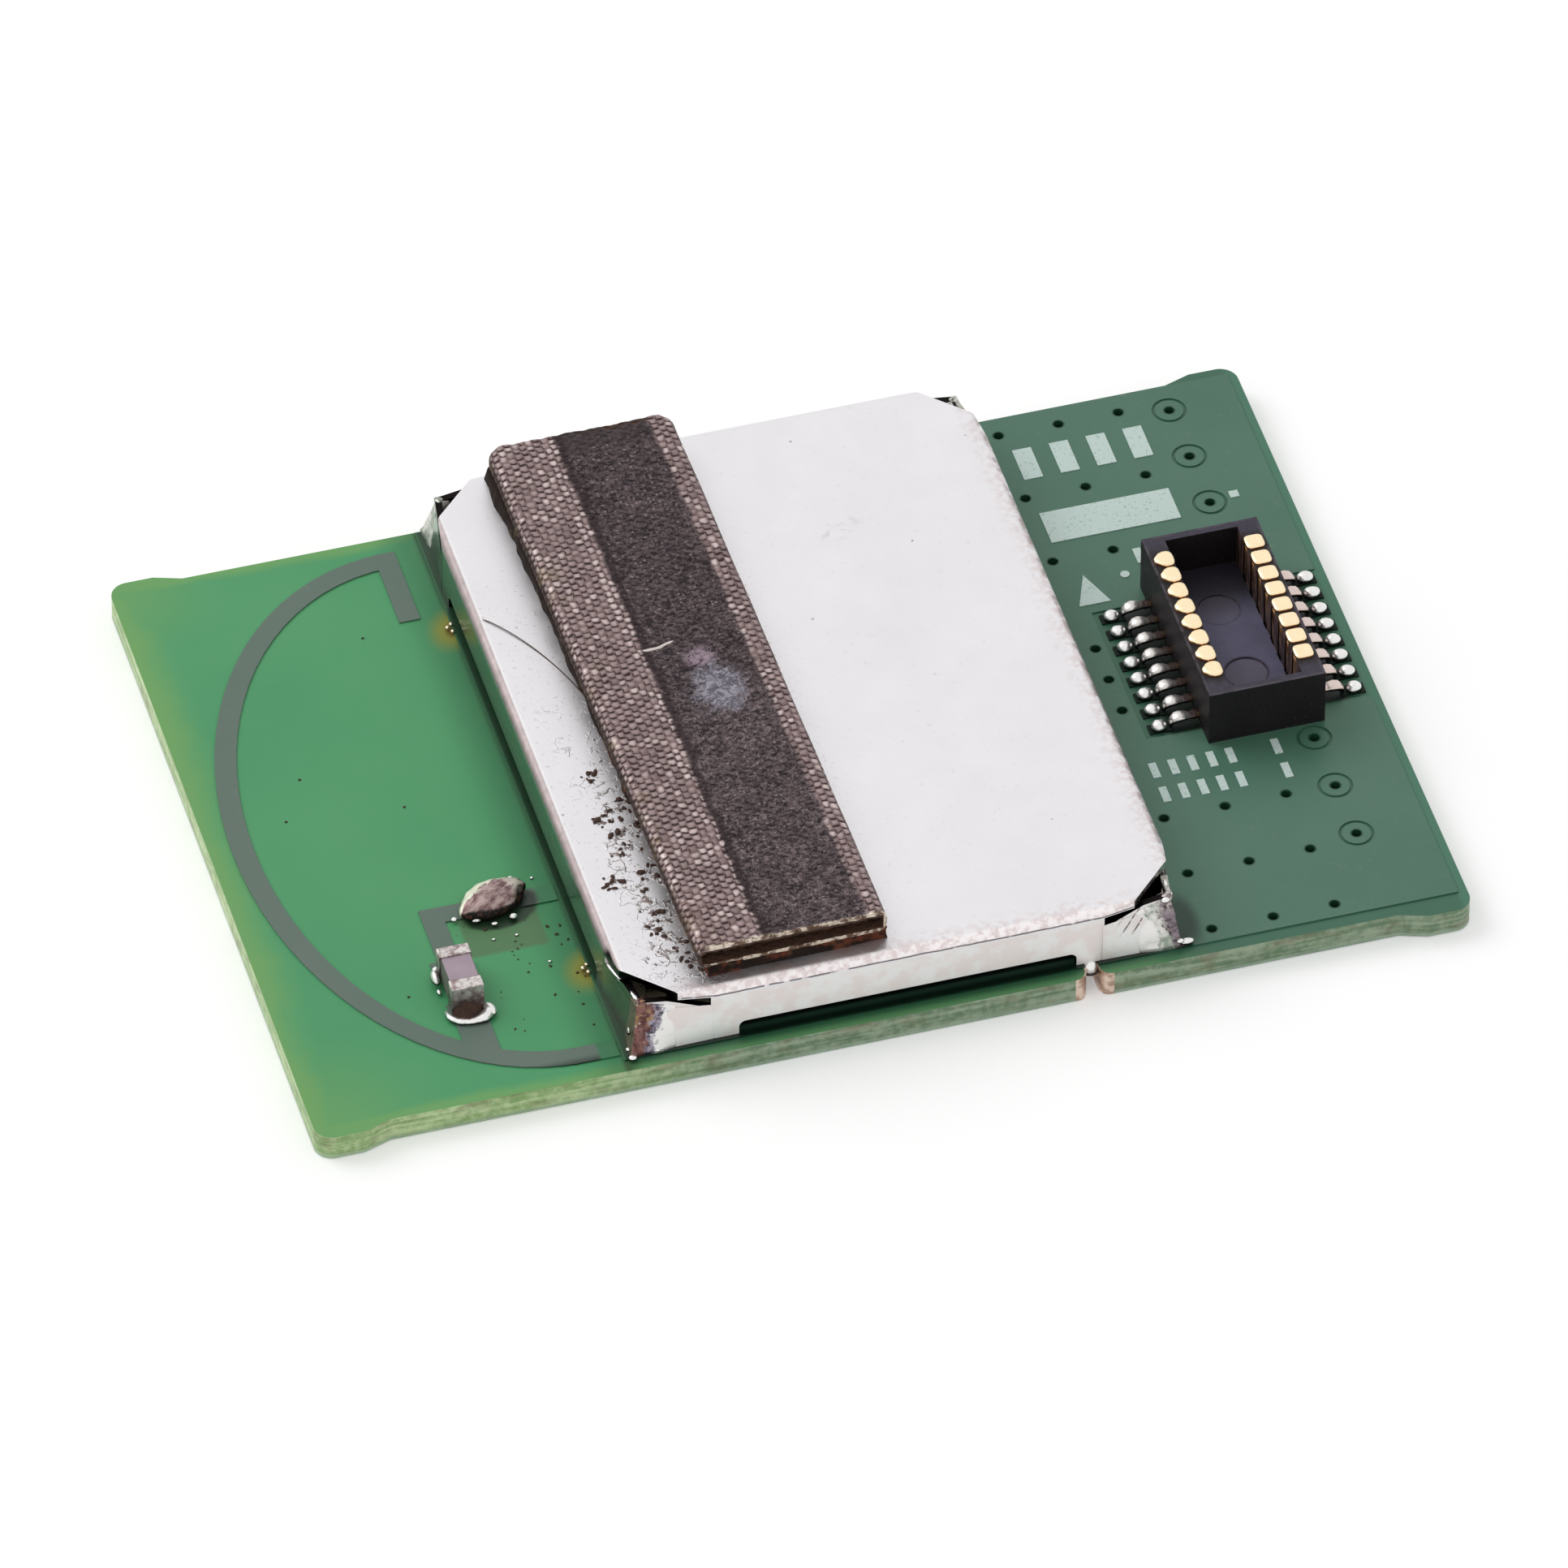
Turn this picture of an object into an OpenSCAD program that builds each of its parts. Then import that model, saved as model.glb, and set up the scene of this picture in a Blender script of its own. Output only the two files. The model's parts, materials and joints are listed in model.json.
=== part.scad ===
// Small radio module: a thin circuit board with a printed antenna at one end, a folded
// shield can over the radio parts, a fabric-wrapped gasket on its lid and a
// board-to-board connector at the other end.
// X runs from the antenna to the connector, Z points up from the board's underside,
// and the origin is under the middle of the board. All lengths are in millimetres.

/* [Board] */
// Length of bare laminate that the antenna takes up, from the board's end to the can
antenna_zone_l = 6.8; // [6:0.1:9]
// Length of board between the can and the connector end
connector_zone_l = 6.1; // [5.6:0.1:9]
// Strip of board left free in front of the can
front_margin = 0.4; // [0.3:0.05:1.5]
// Strip of board left free behind the can
back_margin = 0.05; // [0.05:0.05:1]
// Thickness of the laminate
board_t = 0.6; // [0.4:0.1:1.6]
// Radius of the board's corners
board_corner_r = 0.4; // [0.2:0.05:0.8]
// How far the break-off stubs stand out of the long edges
stub_proud = 0.2; // [0.05:0.05:0.5]
// Length of a stub along the edge, without its ramp
stub_l = 1; // [0.8:0.1:2]
// Length of the ramp from a stub down to the edge
stub_ramp_l = 0.6; // [0.2:0.1:1.2]

/* [Copper] */
// Thickness of the copper that lies on the laminate
copper_t = 0.035; // [0.02:0.005:0.1]
// Width of the antenna trace
antenna_trace_w = 0.46; // [0.3:0.02:0.7]
// Distance from the board's edges to the middle of the antenna trace
antenna_edge_gap = 0.7; // [0.5:0.05:1]
// Distance from the can to the middle of the antenna's curve
antenna_centre_gap = 0.9; // [0.8:0.05:1.5]
// Length of the tail that folds back from the antenna's free end
antenna_tail_l = 2.15; // [1:0.05:4]
// Width of the traces between antenna, capacitor and can
link_trace_w = 0.46; // [0.3:0.02:0.6]
// Free rim between the ground copper and the board's connector end
pour_end_rim = 0.2; // [0.1:0.05:0.5]
// Free rim between the ground copper and the board's front edge
pour_front_rim = 0.3; // [0.1:0.05:0.3]
// Free rim between the ground copper and the board's back edge
pour_back_rim = 0.03; // [0.02:0.01:0.05]
// How far the ground copper reaches out from under the can towards the antenna
pour_lip = 0.1; // [0.05:0.05:0.3]
// Outer diameter of a plated via
via_d = 0.28; // [0.2:0.02:0.34]
// Wall thickness of the copper in a via and in the edge notch
plating_t = 0.03; // [0.02:0.01:0.06]
// Distance between via columns
via_pitch_x = 1.34; // [1:0.02:1.5]
// Distance between rows of the vias in front of the connector
via_pitch_front = 1.72; // [0.8:0.02:1.75]
// Distance between rows of the vias behind the connector
via_pitch_back = 2.04; // [0.8:0.02:2.1]
// Distance from the can to the middle of the first via column
via_can_gap = 0.62; // [0.5:0.02:0.8]
// Distance from the front edge to the first row of vias
via_front_gap = 0.66; // [0.5:0.02:1]
// Distance from the back edge to the first row of vias
via_back_gap = 0.56; // [0.5:0.02:1]
// Distance between the three vias beside the connector
side_via_pitch = 0.98; // [0.6:0.02:1.2]
// Distance from those vias to the connector's lands
side_via_gap = 0.36; // [0.3:0.02:0.5]
// Distance from the connector end to the test lands
land_end_gap = 1.73; // [1.5:0.01:1.8]
// Distance from the connector's housing to the nearest test land in front of it
land_front_gap = 0.44; // [0.3:0.02:0.6]
// Distance from the connector's housing to the nearest test land behind it
land_back_gap = 2.1; // [1.5:0.02:2.3]
// Distance between the test lands
land_pitch = 1.5; // [1:0.05:1.6]
// Diameter of a test land
land_d = 0.62; // [0.5:0.02:0.8]
// Width of the bare ring round a test land
land_ring_w = 0.07; // [0.04:0.01:0.12]

/* [Edge notch] */
// Width of the plated notch at its neck
notch_w = 0.26; // [0.2:0.02:0.5]
// Radius at which the notch opens to the edge
notch_mouth_r = 0.26; // [0.1:0.02:0.28]

/* [Shield can] */
// Length of the can along the board
can_l = 12.1; // [11.6:0.1:16]
// Width of the can across the board
can_w = 16.45; // [16:0.05:20]
// Height of the can above the copper
can_h = 1.4; // [1.35:0.05:2]
// Thickness of the can's sheet
sheet_t = 0.15; // [0.1:0.01:0.2]
// Outer radius of the folds between lid and walls
fold_r = 0.22; // [0.21:0.01:0.3]
// Leg of the cut across each corner of the lid
lid_cut_l = 1.25; // [0.8:0.05:1.4]
// Radius that softens both ends of that cut
lid_cut_r = 0.6; // [0.2:0.05:1]
// Length of the wall ends that lean in towards each corner
flap_l = 1.9; // [1.7:0.05:2.2]
// How far each corner is pulled in by the leaning wall ends
flap_in = 0.28; // [0.1:0.02:0.4]
// Distance from the corner to the end of the relief slot under each fold
slot_end_l = 1.8; // [1.5:0.05:2]
// Depth of the relief slot at its end
slot_depth = 0.28; // [0.1:0.02:0.4]
// Length of the foot that each wall stands on at each corner
foot_l = 2.4; // [2:0.1:4]
// Height of the gap under the walls between the feet
wall_gap_h = 0.34; // [0.2:0.02:0.5]
// Radius in the top corners of that gap
wall_gap_r = 0.15; // [0.05:0.01:0.18]
// Width of the tab that dips into the edge notch
tab_w = 0.18; // [0.1:0.02:0.18]
// How far that tab reaches below the board's face
tab_depth = 0.25; // [0.1:0.05:0.4]
// Radius of the solder bead that wraps each corner seam
bead_r = 0.42; // [0.36:0.02:0.5]
// How far the middle of that bead lies inside the seam, along the diagonal
bead_in = 0.28; // [0.1:0.02:0.3]
// Radius at which the bead spreads on the board
bead_foot_r = 0.56; // [0.52:0.02:0.6]
// How far the bead's top stays below the top of the wall ends
bead_drop = 0.08; // [0.02:0.01:0.3]

/* [Gasket] */
// Width of the fabric-wrapped gasket
gasket_w = 4.12; // [3:0.02:5]
// Thickness of the wrapped gasket
gasket_t = 0.55; // [0.45:0.05:1]
// Thickness of the conductive fabric
fabric_t = 0.1; // [0.06:0.01:0.15]
// Radius of the gasket's long edges
gasket_edge_r = 0.22; // [0.16:0.01:0.22]
// Distance from the can's antenna side to the middle of the gasket
gasket_x_gap = 3.59; // [3.2:0.05:6]
// Distance from the gasket's front end to the front of the can
gasket_front_gap = 0.4; // [0.3:0.05:2]
// Distance from the gasket's back end to the back of the can
gasket_back_gap = 0.1; // [0.1:0.05:2]
// Angle of the gasket to the board's width
gasket_angle = 0.65; // [0:0.05:1]
// How far the foam stays behind the fabric at both ends
foam_recess = 0.25; // [0.1:0.05:1]
// Thickness of the adhesive strip under the gasket
adhesive_t = 0.28; // [0.1:0.02:0.4]
// Width of the adhesive strip
adhesive_w = 3.95; // [2.8:0.05:4]
// Angle of the adhesive strip to the board's width
adhesive_angle = 1.6; // [0:0.1:2]

/* [Connector] */
// Number of contacts in a row
contact_count = 8; // [4:1:9]
// Distance between neighbouring contacts
contact_pitch = 0.5; // [0.4:0.05:0.55]
// Width of a contact's leg
contact_w = 0.22; // [0.16:0.02:0.26]
// Width of a contact's head on top of the wall
contact_head_w = 0.36; // [0.28:0.02:0.38]
// Thickness of the contact sheet
contact_t = 0.1; // [0.06:0.01:0.12]
// How far a leg reaches out of the housing
contact_reach = 1; // [0.8:0.05:1.1]
// Length of a leg's foot
contact_foot_l = 0.3; // [0.2:0.02:0.4]
// Height of a leg's arm above its foot
contact_arm_h = 0.15; // [0.12:0.01:0.16]
// Width of the housing along the board
housing_l = 2.56; // [2.4:0.02:3]
// Height of the housing
housing_h = 1.38; // [1.2:0.02:2]
// Width of the socket's slot
socket_l = 1.6; // [1.2:0.02:1.7]
// Thickness of the floor under the slot
socket_floor_t = 0.37; // [0.34:0.01:0.6]
// Housing beyond the last contact at each end
housing_end_l = 0.75; // [0.5:0.05:1]
// Thickness of the housing's end walls
end_wall_t = 0.18; // [0.1:0.02:0.25]
// Distance from the connector's middle to the board's end
connector_end_gap = 2.64; // [2.6:0.02:3]
// Distance of the connector's middle behind the board's middle
connector_y = 0.05; // [-0.2:0.05:0.4]
// Clearance between a contact and the housing round it
contact_gap = 0.01; // [0.005:0.005:0.02]

/* [Matching parts] */
// Length of the matching capacitor
match_cap_l = 1.3; // [1.2:0.05:1.8]
// Width of the matching capacitor
match_cap_w = 0.7; // [0.5:0.05:0.9]
// Height of the matching capacitor
match_cap_h = 0.7; // [0.4:0.02:0.9]
// Length of a terminal on the matching capacitor
match_terminal_l = 0.3; // [0.2:0.02:0.45]
// Distance from the can to the middle of the matching capacitor
match_cap_gap = 2.82; // [2.6:0.02:3]
// Distance from the board's front edge to the middle of the matching capacitor
match_cap_edge_gap = 3.22; // [3:0.01:3.4]
// Length of the solder bridge
bridge_l = 1.6; // [1.4:0.05:1.8]
// Width of the solder bridge
bridge_w = 1; // [0.8:0.05:1.2]
// Height of the solder bridge
bridge_h = 0.42; // [0.3:0.02:0.5]
// Distance from the can to the middle of the solder bridge
bridge_gap = 1.5; // [1.3:0.02:1.6]
// Distance from the capacitor's middle back to the middle of the solder bridge
bridge_back_gap = 2.28; // [2.2:0.01:2.6]

/* [Parts under the can] */
// Side of the radio chip's package
radio_l = 6; // [5:0.1:6.6]
// Height of the radio chip's package
radio_h = 0.85; // [0.5:0.05:0.95]
// Side of the front-end chip's package
front_end_l = 3; // [2:0.1:3.3]
// Height of the front-end chip's package
front_end_h = 0.6; // [0.4:0.05:0.9]
// Length of the memory chip's package
memory_l = 3; // [2:0.1:3.4]
// Width of the memory chip's package
memory_w = 2; // [1.5:0.1:2.4]
// Height of the memory chip's package
memory_h = 0.6; // [0.4:0.05:0.9]
// Length of the crystal
crystal_l = 2.5; // [2:0.1:3]
// Width of the crystal
crystal_w = 2; // [1.6:0.1:2.5]
// Height of the crystal
crystal_h = 0.7; // [0.5:0.05:0.9]
// Length of the band filter
filter_l = 2; // [1.6:0.05:2.2]
// Width of the band filter
filter_w = 1.25; // [0.8:0.05:1.4]
// Height of the band filter
filter_h = 0.7; // [0.4:0.05:0.9]
// Length of the power inductor
inductor_l = 2.5; // [2:0.1:2.8]
// Width of the power inductor
inductor_w = 2; // [1.6:0.1:2.2]
// Height of the power inductor
inductor_h = 0.95; // [0.6:0.05:1]
// Length of the small chip parts
small_l = 1; // [0.6:0.05:1.1]
// Width of the small chip parts
small_w = 0.5; // [0.3:0.05:0.55]
// Height of the small capacitors
small_cap_h = 0.5; // [0.3:0.05:0.6]
// Height of the resistors
resistor_h = 0.35; // [0.2:0.05:0.4]
// Number of small capacitors in front of the radio chip
small_cap_count = 6; // [2:1:6]
// Number of resistors behind the radio chip
resistor_count = 5; // [2:1:6]
// Distance between neighbouring small parts
small_pitch = 1; // [0.8:0.05:1.15]
// Clearance between neighbouring parts under the can
part_gap = 0.5; // [0.3:0.05:0.6]
// Clearance between the parts and the can's side walls
side_clearance = 0.4; // [0.2:0.05:0.6]
// Clearance between the parts and the can's end walls
end_clearance = 0.8; // [0.6:0.05:1.5]

/* [Print] */
// Thickness of the printed ink
ink_t = 0.02; // [0.01:0.005:0.03]
// Width of a printed line
ink_line_w = 0.17; // [0.1:0.01:0.22]

/* [Hidden] */
$fn = 48;

// Overshoot of cutting shapes past the faces that they cut
over = 1;
// Distance past every edge of the part
far = 40;

// Board and the levels above it
board_l = antenna_zone_l + can_l + connector_zone_l;
board_w = front_margin + can_w + back_margin;
deck_z = board_t;
copper_z = deck_z + copper_t;
end_x = board_l / 2;
front_y = -board_w / 2;
back_y = board_w / 2;

// Can walls, measured on their outer faces
can_x0 = -end_x + antenna_zone_l;
can_x1 = can_x0 + can_l;
can_y0 = front_y + front_margin;
can_y1 = can_y0 + can_w;
can_cx = (can_x0 + can_x1) / 2;
can_cy = (can_y0 + can_y1) / 2;
lid_z = copper_z + can_h;
fold_line_h = can_h - fold_r;
fold_inner_r = fold_r - sheet_t;
flap_run = flap_l - flap_in;
flap_len = sqrt(flap_run * flap_run + flap_in * flap_in);

// Antenna curve
antenna_cx = can_x0 - antenna_centre_gap;
antenna_rx = antenna_cx + end_x - antenna_edge_gap;
antenna_ry = back_y - antenna_edge_gap;
curve_steps = 40;

// Matching parts
match_cap_x = can_x0 - match_cap_gap;
match_cap_y = front_y + match_cap_edge_gap;
match_pad_reach = 0.28;
match_pad_side = 0.06;
match_solder_h = match_cap_h * 0.6;
match_solder_hollow = 0.06;
match_cap_front = match_cap_y - match_cap_l / 2;
match_cap_back = match_cap_y + match_cap_l / 2;
bridge_x = can_x0 - bridge_gap;
bridge_y = match_cap_y + bridge_back_gap;
bridge_gap_w = 0.4;
pour_clearance = 0.05;
terminal_wall = 0.03;

// Edge notch, under the end of the can's front foot
notch_cut_w = notch_w + 2 * plating_t;
tab_foot_gap = 0.2;
notch_x = can_x1 - foot_l + tab_w / 2 + tab_foot_gap;
notch_end_y = can_y0 + sheet_t;
tab_solder_h = 0.2;

slot_rise_gap = 0.35;
slot_overlap = 0.01;

// Solder beads at the can's corners
bead_h = fold_line_h - bead_drop;
// Thickness at which the solder's foot ends
foot_edge = 0.01;

// Gasket
gasket_l = can_w - gasket_front_gap - gasket_back_gap;
gasket_x = can_x0 + gasket_x_gap;
gasket_y = can_y0 + gasket_front_gap + gasket_l / 2;
gasket_z = lid_z + adhesive_t;
adhesive_l = gasket_l - 0.1;

// Connector, measured from the middle of its socket
connector_x = end_x - connector_end_gap;
contact_row_l = (contact_count - 1) * contact_pitch;
housing_w = contact_row_l + 2 * housing_end_l;
socket_w = housing_w - 2 * end_wall_t;
wall_in = socket_l / 2;
wall_out = housing_l / 2;
contact_tip = wall_out + contact_reach;
contact_step = 0.1;
contact_head_l = 0.37;
head_reach = wall_in + contact_head_l;
pad_side = 0.03;
pad_toe = 0.1;
pad_heel = 0.12;
window_gap = 0.12;
eject_mark_r = 0.45;
eject_mark_gap = 1;
eject_mark_depth = 0.03;
contact_solder_hollow = 0.015;

// Vias and test lands
via_rows = 3;
via_columns = 3;
via_x = can_x1 + via_can_gap;
via_front_y = front_y + via_front_gap;
via_back_y = back_y - via_back_gap;
side_via_x = connector_x - contact_tip - pad_toe - side_via_gap;
land_count = 3;
land_x = end_x - land_end_gap;
land_front_y = connector_y - housing_w / 2 - land_front_gap;
land_back_y = connector_y + housing_w / 2 + land_back_gap;

// Printed marks, set between the rows of vias and round the connector
mark_x = via_x + via_d / 2;
mark_l = 2 * via_pitch_x + 0.2;
mark_h = 0.95;
mark_bars = 4;
mark_bar_w = 0.42;
mark_gap = 0.25;
triangle_l = 0.7;
tick_h = 0.45;
tick_pitch = 0.42;
tick_row_pitch = 0.75;
tick_count = 5;
dot_d = 0.2;

// Room inside the can, and the two columns of parts in it
room_x0 = can_x0 + sheet_t;
room_y0 = can_y0 + sheet_t;
package_lift = 0.05;
column_x0 = room_x0 + side_clearance;
column_y0 = room_y0 + end_clearance;
column_l = max(front_end_l, crystal_l, filter_l, inductor_l);
crystal_y = column_y0 + crystal_w / 2;
filter_y = crystal_y + (crystal_w + filter_w) / 2 + part_gap;
front_end_y = filter_y + (filter_w + front_end_l) / 2 + part_gap;
inductor_y = front_end_y + (front_end_l + inductor_w) / 2 + part_gap;
radio_x = column_x0 + column_l + part_gap + radio_l / 2;
small_cap_y = column_y0 + small_l / 2;
radio_y = small_cap_y + (small_l + radio_l) / 2 + part_gap;
resistor_y = radio_y + (radio_l + small_l) / 2 + part_gap;
memory_y = resistor_y + (small_l + memory_w) / 2 + part_gap;
radio_pins = 10;
front_end_pins = 4;
memory_pins = 4;
pin_pitch = 0.5;
pin_w = 0.25;
pin_l = 0.4;
crystal_lid_t = 0.25;
crystal_rim = 0.15;
filter_terminal_l = 0.3;
inductor_terminal_l = 0.5;
small_terminal_l = 0.25;

// Shapes used by several parts

module round_rect(l, w, r) {
    square([l, w - 2 * r], center = true);
    square([l - 2 * r, w], center = true);
    for (x = [-1, 1], y = [-1, 1])
        translate([x * (l / 2 - r), y * (w / 2 - r)]) circle(r);
}

// A box that stands on z = 0, centred in x and y
module block(l, w, h) {
    translate([-l / 2, -w / 2, 0]) cube([l, w, h]);
}

// Both end terminals of a chip part that lies along x
module chip_terminals(l, w, h, terminal_l, terminal_t) {
    for (side = [0, 1])
        mirror([side, 0, 0])
            difference() {
                translate([l / 2 - terminal_l, -w / 2, 0]) cube([terminal_l, w, h]);
                translate([0, 0, terminal_t])
                    block(l - 2 * terminal_t, w - 2 * terminal_t, h - 2 * terminal_t);
            }
}

// The ceramic of a chip part between and inside its terminals
module chip_body(l, w, h, terminal_l, terminal_t) {
    translate([0, 0, terminal_t])
        block(l - 2 * terminal_t, w - 2 * terminal_t, h - 2 * terminal_t);
}

// Children repeated in a row that is centred on x = 0
module row_x(count, pitch) {
    for (i = [0 : count - 1])
        translate([(i - (count - 1) / 2) * pitch, 0, 0]) children();
}

// Children repeated in a row that is centred on y = 0
module row_y(count, pitch) {
    for (i = [0 : count - 1])
        translate([0, (i - (count - 1) / 2) * pitch, 0]) children();
}

// Children at all four sides of a square package
module four_sides() {
    for (turn = [0 : 3])
        rotate([0, 0, 90 * turn]) children();
}

// Board and copper

// Break-off stub at one end of a long edge, in the order of a turn against the clock
function stub_points(sx, sy) =
    let (
        foot = [sx * (end_x - stub_l - stub_ramp_l), sy * back_y],
        shoulder = [sx * (end_x - stub_l), sy * (back_y + stub_proud)],
        corner = [sx * end_x, sy * (back_y + stub_proud)]
    )
    sx * sy > 0 ? [corner, shoulder, foot] : [foot, shoulder, corner];

module board_outline() {
    intersection() {
        polygon(concat(
            stub_points(1, 1), stub_points(-1, 1),
            stub_points(-1, -1), stub_points(1, -1)
        ));
        round_rect(board_l, board_w + 2 * stub_proud, board_corner_r);
    }
}

// Notch in the front edge; the lining is the plating left on its wall
module notch_shape(lining) {
    w = notch_cut_w - 2 * lining;
    r = notch_mouth_r + lining;
    centre_x = notch_cut_w / 2 + notch_mouth_r;
    translate([notch_x, front_y]) {
        translate([0, notch_end_y - front_y]) circle(w / 2);
        translate([-w / 2, -over]) square([w, over + notch_end_y - front_y]);
        difference() {
            translate([-centre_x, -over]) square([2 * centre_x, over + notch_mouth_r]);
            for (x = [-1, 1]) {
                translate([x * centre_x, notch_mouth_r]) circle(r);
                translate([x * centre_x - r, -over]) square([2 * r, over]);
            }
        }
    }
}

// Places of the plain vias
module at_vias() {
    for (i = [0 : via_columns - 1], j = [0 : via_rows - 1]) {
        translate([via_x + i * via_pitch_x, via_front_y + j * via_pitch_front]) children();
        translate([via_x + i * via_pitch_x, via_back_y - j * via_pitch_back]) children();
    }
    translate([side_via_x, 0]) row_y(via_rows, side_via_pitch) children();
}

// Places of the vias in the middle of the test lands
module at_lands() {
    for (i = [0 : land_count - 1]) {
        translate([land_x, land_front_y - i * land_pitch]) children();
        translate([land_x, land_back_y + i * land_pitch]) children();
    }
}

module circuit_board() {
    color([0.30, 0.56, 0.38])
        difference() {
            linear_extrude(board_t) board_outline();
            translate([0, 0, -over]) linear_extrude(board_t + 2 * over) notch_shape(0);
            translate([0, 0, -over]) {
                at_vias() cylinder(d = via_d, h = board_t + 2 * over);
                at_lands() cylinder(d = via_d, h = board_t + 2 * over);
            }
        }
}

module contact_windows() {
    window_l = contact_reach + pad_toe + window_gap;
    window_w = contact_row_l + contact_w + 2 * pad_side + 2 * window_gap;
    translate([connector_x, connector_y])
        for (side = [0, 1])
            mirror([side, 0])
                translate([wall_out, -window_w / 2]) square([window_l, window_w]);
}

module ground_pour() {
    x0 = can_x0 - pour_lip;
    y0 = front_y + pour_front_rim;
    color([0.33, 0.47, 0.40])
        translate([0, 0, deck_z])
            linear_extrude(copper_t)
                difference() {
                    translate([x0, y0])
                        square([end_x - pour_end_rim - x0, back_y - pour_back_rim - y0]);
                    contact_windows();
                    notch_shape(0);
                    at_vias() circle(d = via_d);
                    at_lands() {
                        circle(d = via_d);
                        difference() {
                            circle(d = land_d + 2 * land_ring_w);
                            circle(d = land_d);
                        }
                    }
                }
}

// Point on an ellipse round the antenna's middle, at an angle from +x
function antenna_point(rx, ry, angle) = [antenna_cx + rx * cos(angle), ry * sin(angle)];

module antenna_trace() {
    half_w = antenna_trace_w / 2;
    tail_x = antenna_cx - half_w;
    color([0.35, 0.44, 0.39])
        translate([0, 0, deck_z])
            linear_extrude(copper_t) {
                polygon(concat(
                    [for (i = [0 : curve_steps])
                        antenna_point(antenna_rx + half_w, antenna_ry + half_w,
                                      90 + 180 * i / curve_steps)],
                    [for (i = [curve_steps : -1 : 0])
                        antenna_point(antenna_rx - half_w, antenna_ry - half_w,
                                      90 + 180 * i / curve_steps)]
                ));
                translate([antenna_cx - half_w, antenna_ry - half_w])
                    square([antenna_trace_w, antenna_trace_w]);
                translate([tail_x, antenna_ry + half_w - antenna_tail_l])
                    square([antenna_trace_w, antenna_tail_l]);
                translate([antenna_cx - half_w, -antenna_ry - half_w])
                    square([can_x0 - pour_lip - pour_clearance - antenna_cx + half_w,
                            antenna_trace_w]);
                match_cap_pad(match_cap_front);
                front_link();
            }
}

// Land under one end of the matching capacitor; end_y is the capacitor's end face
module match_cap_pad(end_y) {
    pad_l = match_cap_w + 2 * match_pad_side;
    pad_w = match_pad_reach + match_terminal_l;
    away = end_y < match_cap_y ? match_pad_reach : match_terminal_l;
    translate([match_cap_x - pad_l / 2, end_y - away]) square([pad_l, pad_w]);
}

// Copper between the capacitor's front land and the antenna curve
module front_link() {
    link_x0 = match_cap_x - match_cap_w / 2;
    reach = (match_cap_x - antenna_cx) / antenna_rx;
    curve_y = -antenna_ry * sqrt(1 - reach * reach);
    land_y = match_cap_front - match_pad_reach;
    translate([link_x0, curve_y]) square([match_cap_w, land_y - curve_y + match_pad_reach / 2]);
}

module matching_trace() {
    color([0.35, 0.44, 0.39])
        translate([0, 0, deck_z])
            linear_extrude(copper_t) {
                match_cap_pad(match_cap_back);
                translate([match_cap_x - link_trace_w / 2, match_cap_back])
                    square([link_trace_w, bridge_y + link_trace_w / 2 - match_cap_back]);
                translate([match_cap_x - link_trace_w / 2, bridge_y - link_trace_w / 2])
                    square([bridge_x - bridge_gap_w / 2 - match_cap_x + link_trace_w / 2,
                            link_trace_w]);
            }
}

module feed_trace() {
    x0 = bridge_x + bridge_gap_w / 2;
    x1 = can_x0 - pour_lip - pour_clearance;
    color([0.35, 0.44, 0.39])
        translate([x0, bridge_y - link_trace_w / 2, deck_z])
            cube([x1 - x0, link_trace_w, copper_t]);
}

module via_barrels() {
    color([0.12, 0.32, 0.22]) {
        at_vias() barrel();
        at_lands() barrel();
    }
}

module barrel() {
    difference() {
        cylinder(d = via_d, h = copper_z);
        translate([0, 0, -over]) cylinder(d = via_d - 2 * plating_t, h = copper_z + 2 * over);
    }
}

module notch_plating() {
    color([0.72, 0.58, 0.36])
        linear_extrude(board_t)
            intersection() {
                difference() {
                    notch_shape(0);
                    notch_shape(plating_t);
                }
                translate([-far, front_y]) square([2 * far, far]);
            }
}

// Plain printed marks: bars, a block, a triangle, ticks and dots
module printed_marks() {
    bar_pitch = (mark_l - mark_bar_w) / (mark_bars - 1);
    color([0.80, 0.87, 0.84])
        translate([0, 0, copper_z])
            linear_extrude(ink_t) {
                translate([mark_x, via_back_y - via_pitch_back / 2 - mark_h / 2])
                    for (i = [0 : mark_bars - 1])
                        translate([i * bar_pitch, 0]) square([mark_bar_w, mark_h]);
                translate([mark_x, via_back_y - 1.5 * via_pitch_back - mark_h / 2])
                    square([mark_l, mark_h]);
                marks_behind_connector();
                marks_before_connector();
                translate([land_x + land_d / 2 + land_ring_w + ink_line_w / 2, land_back_y])
                    square(dot_d);
            }
}

module marks_behind_connector() {
    row_end_y = connector_y + contact_row_l / 2;
    housing_end_y = connector_y + housing_w / 2;
    translate([mark_x, row_end_y + 2 * mark_gap])
        polygon([[0, 0], [triangle_l, 0], [triangle_l / 2, triangle_l * 1.3]]);
    translate([connector_x - wall_out - dot_d, housing_end_y + dot_d + mark_gap])
        circle(d = dot_d);
    translate([connector_x - wall_out + ink_line_w, housing_end_y + dot_d + 2 * mark_gap])
        square([ink_line_w, tick_h]);
}

module marks_before_connector() {
    top_y = connector_y - housing_w / 2 - mark_gap - tick_h;
    translate([mark_x, top_y]) {
        for (i = [0 : tick_count - 1], j = [0 : 1])
            translate([i * tick_pitch, -j * tick_row_pitch]) square([ink_line_w, tick_h]);
        for (j = [0 : 1])
            translate([2 * via_pitch_x, -j * tick_row_pitch]) square([ink_line_w, tick_h]);
    }
}

// Matching capacitor, its solder and the solder bridge

module at_match_cap() {
    translate([match_cap_x, match_cap_y, copper_z]) rotate([0, 0, 90]) children();
}

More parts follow.
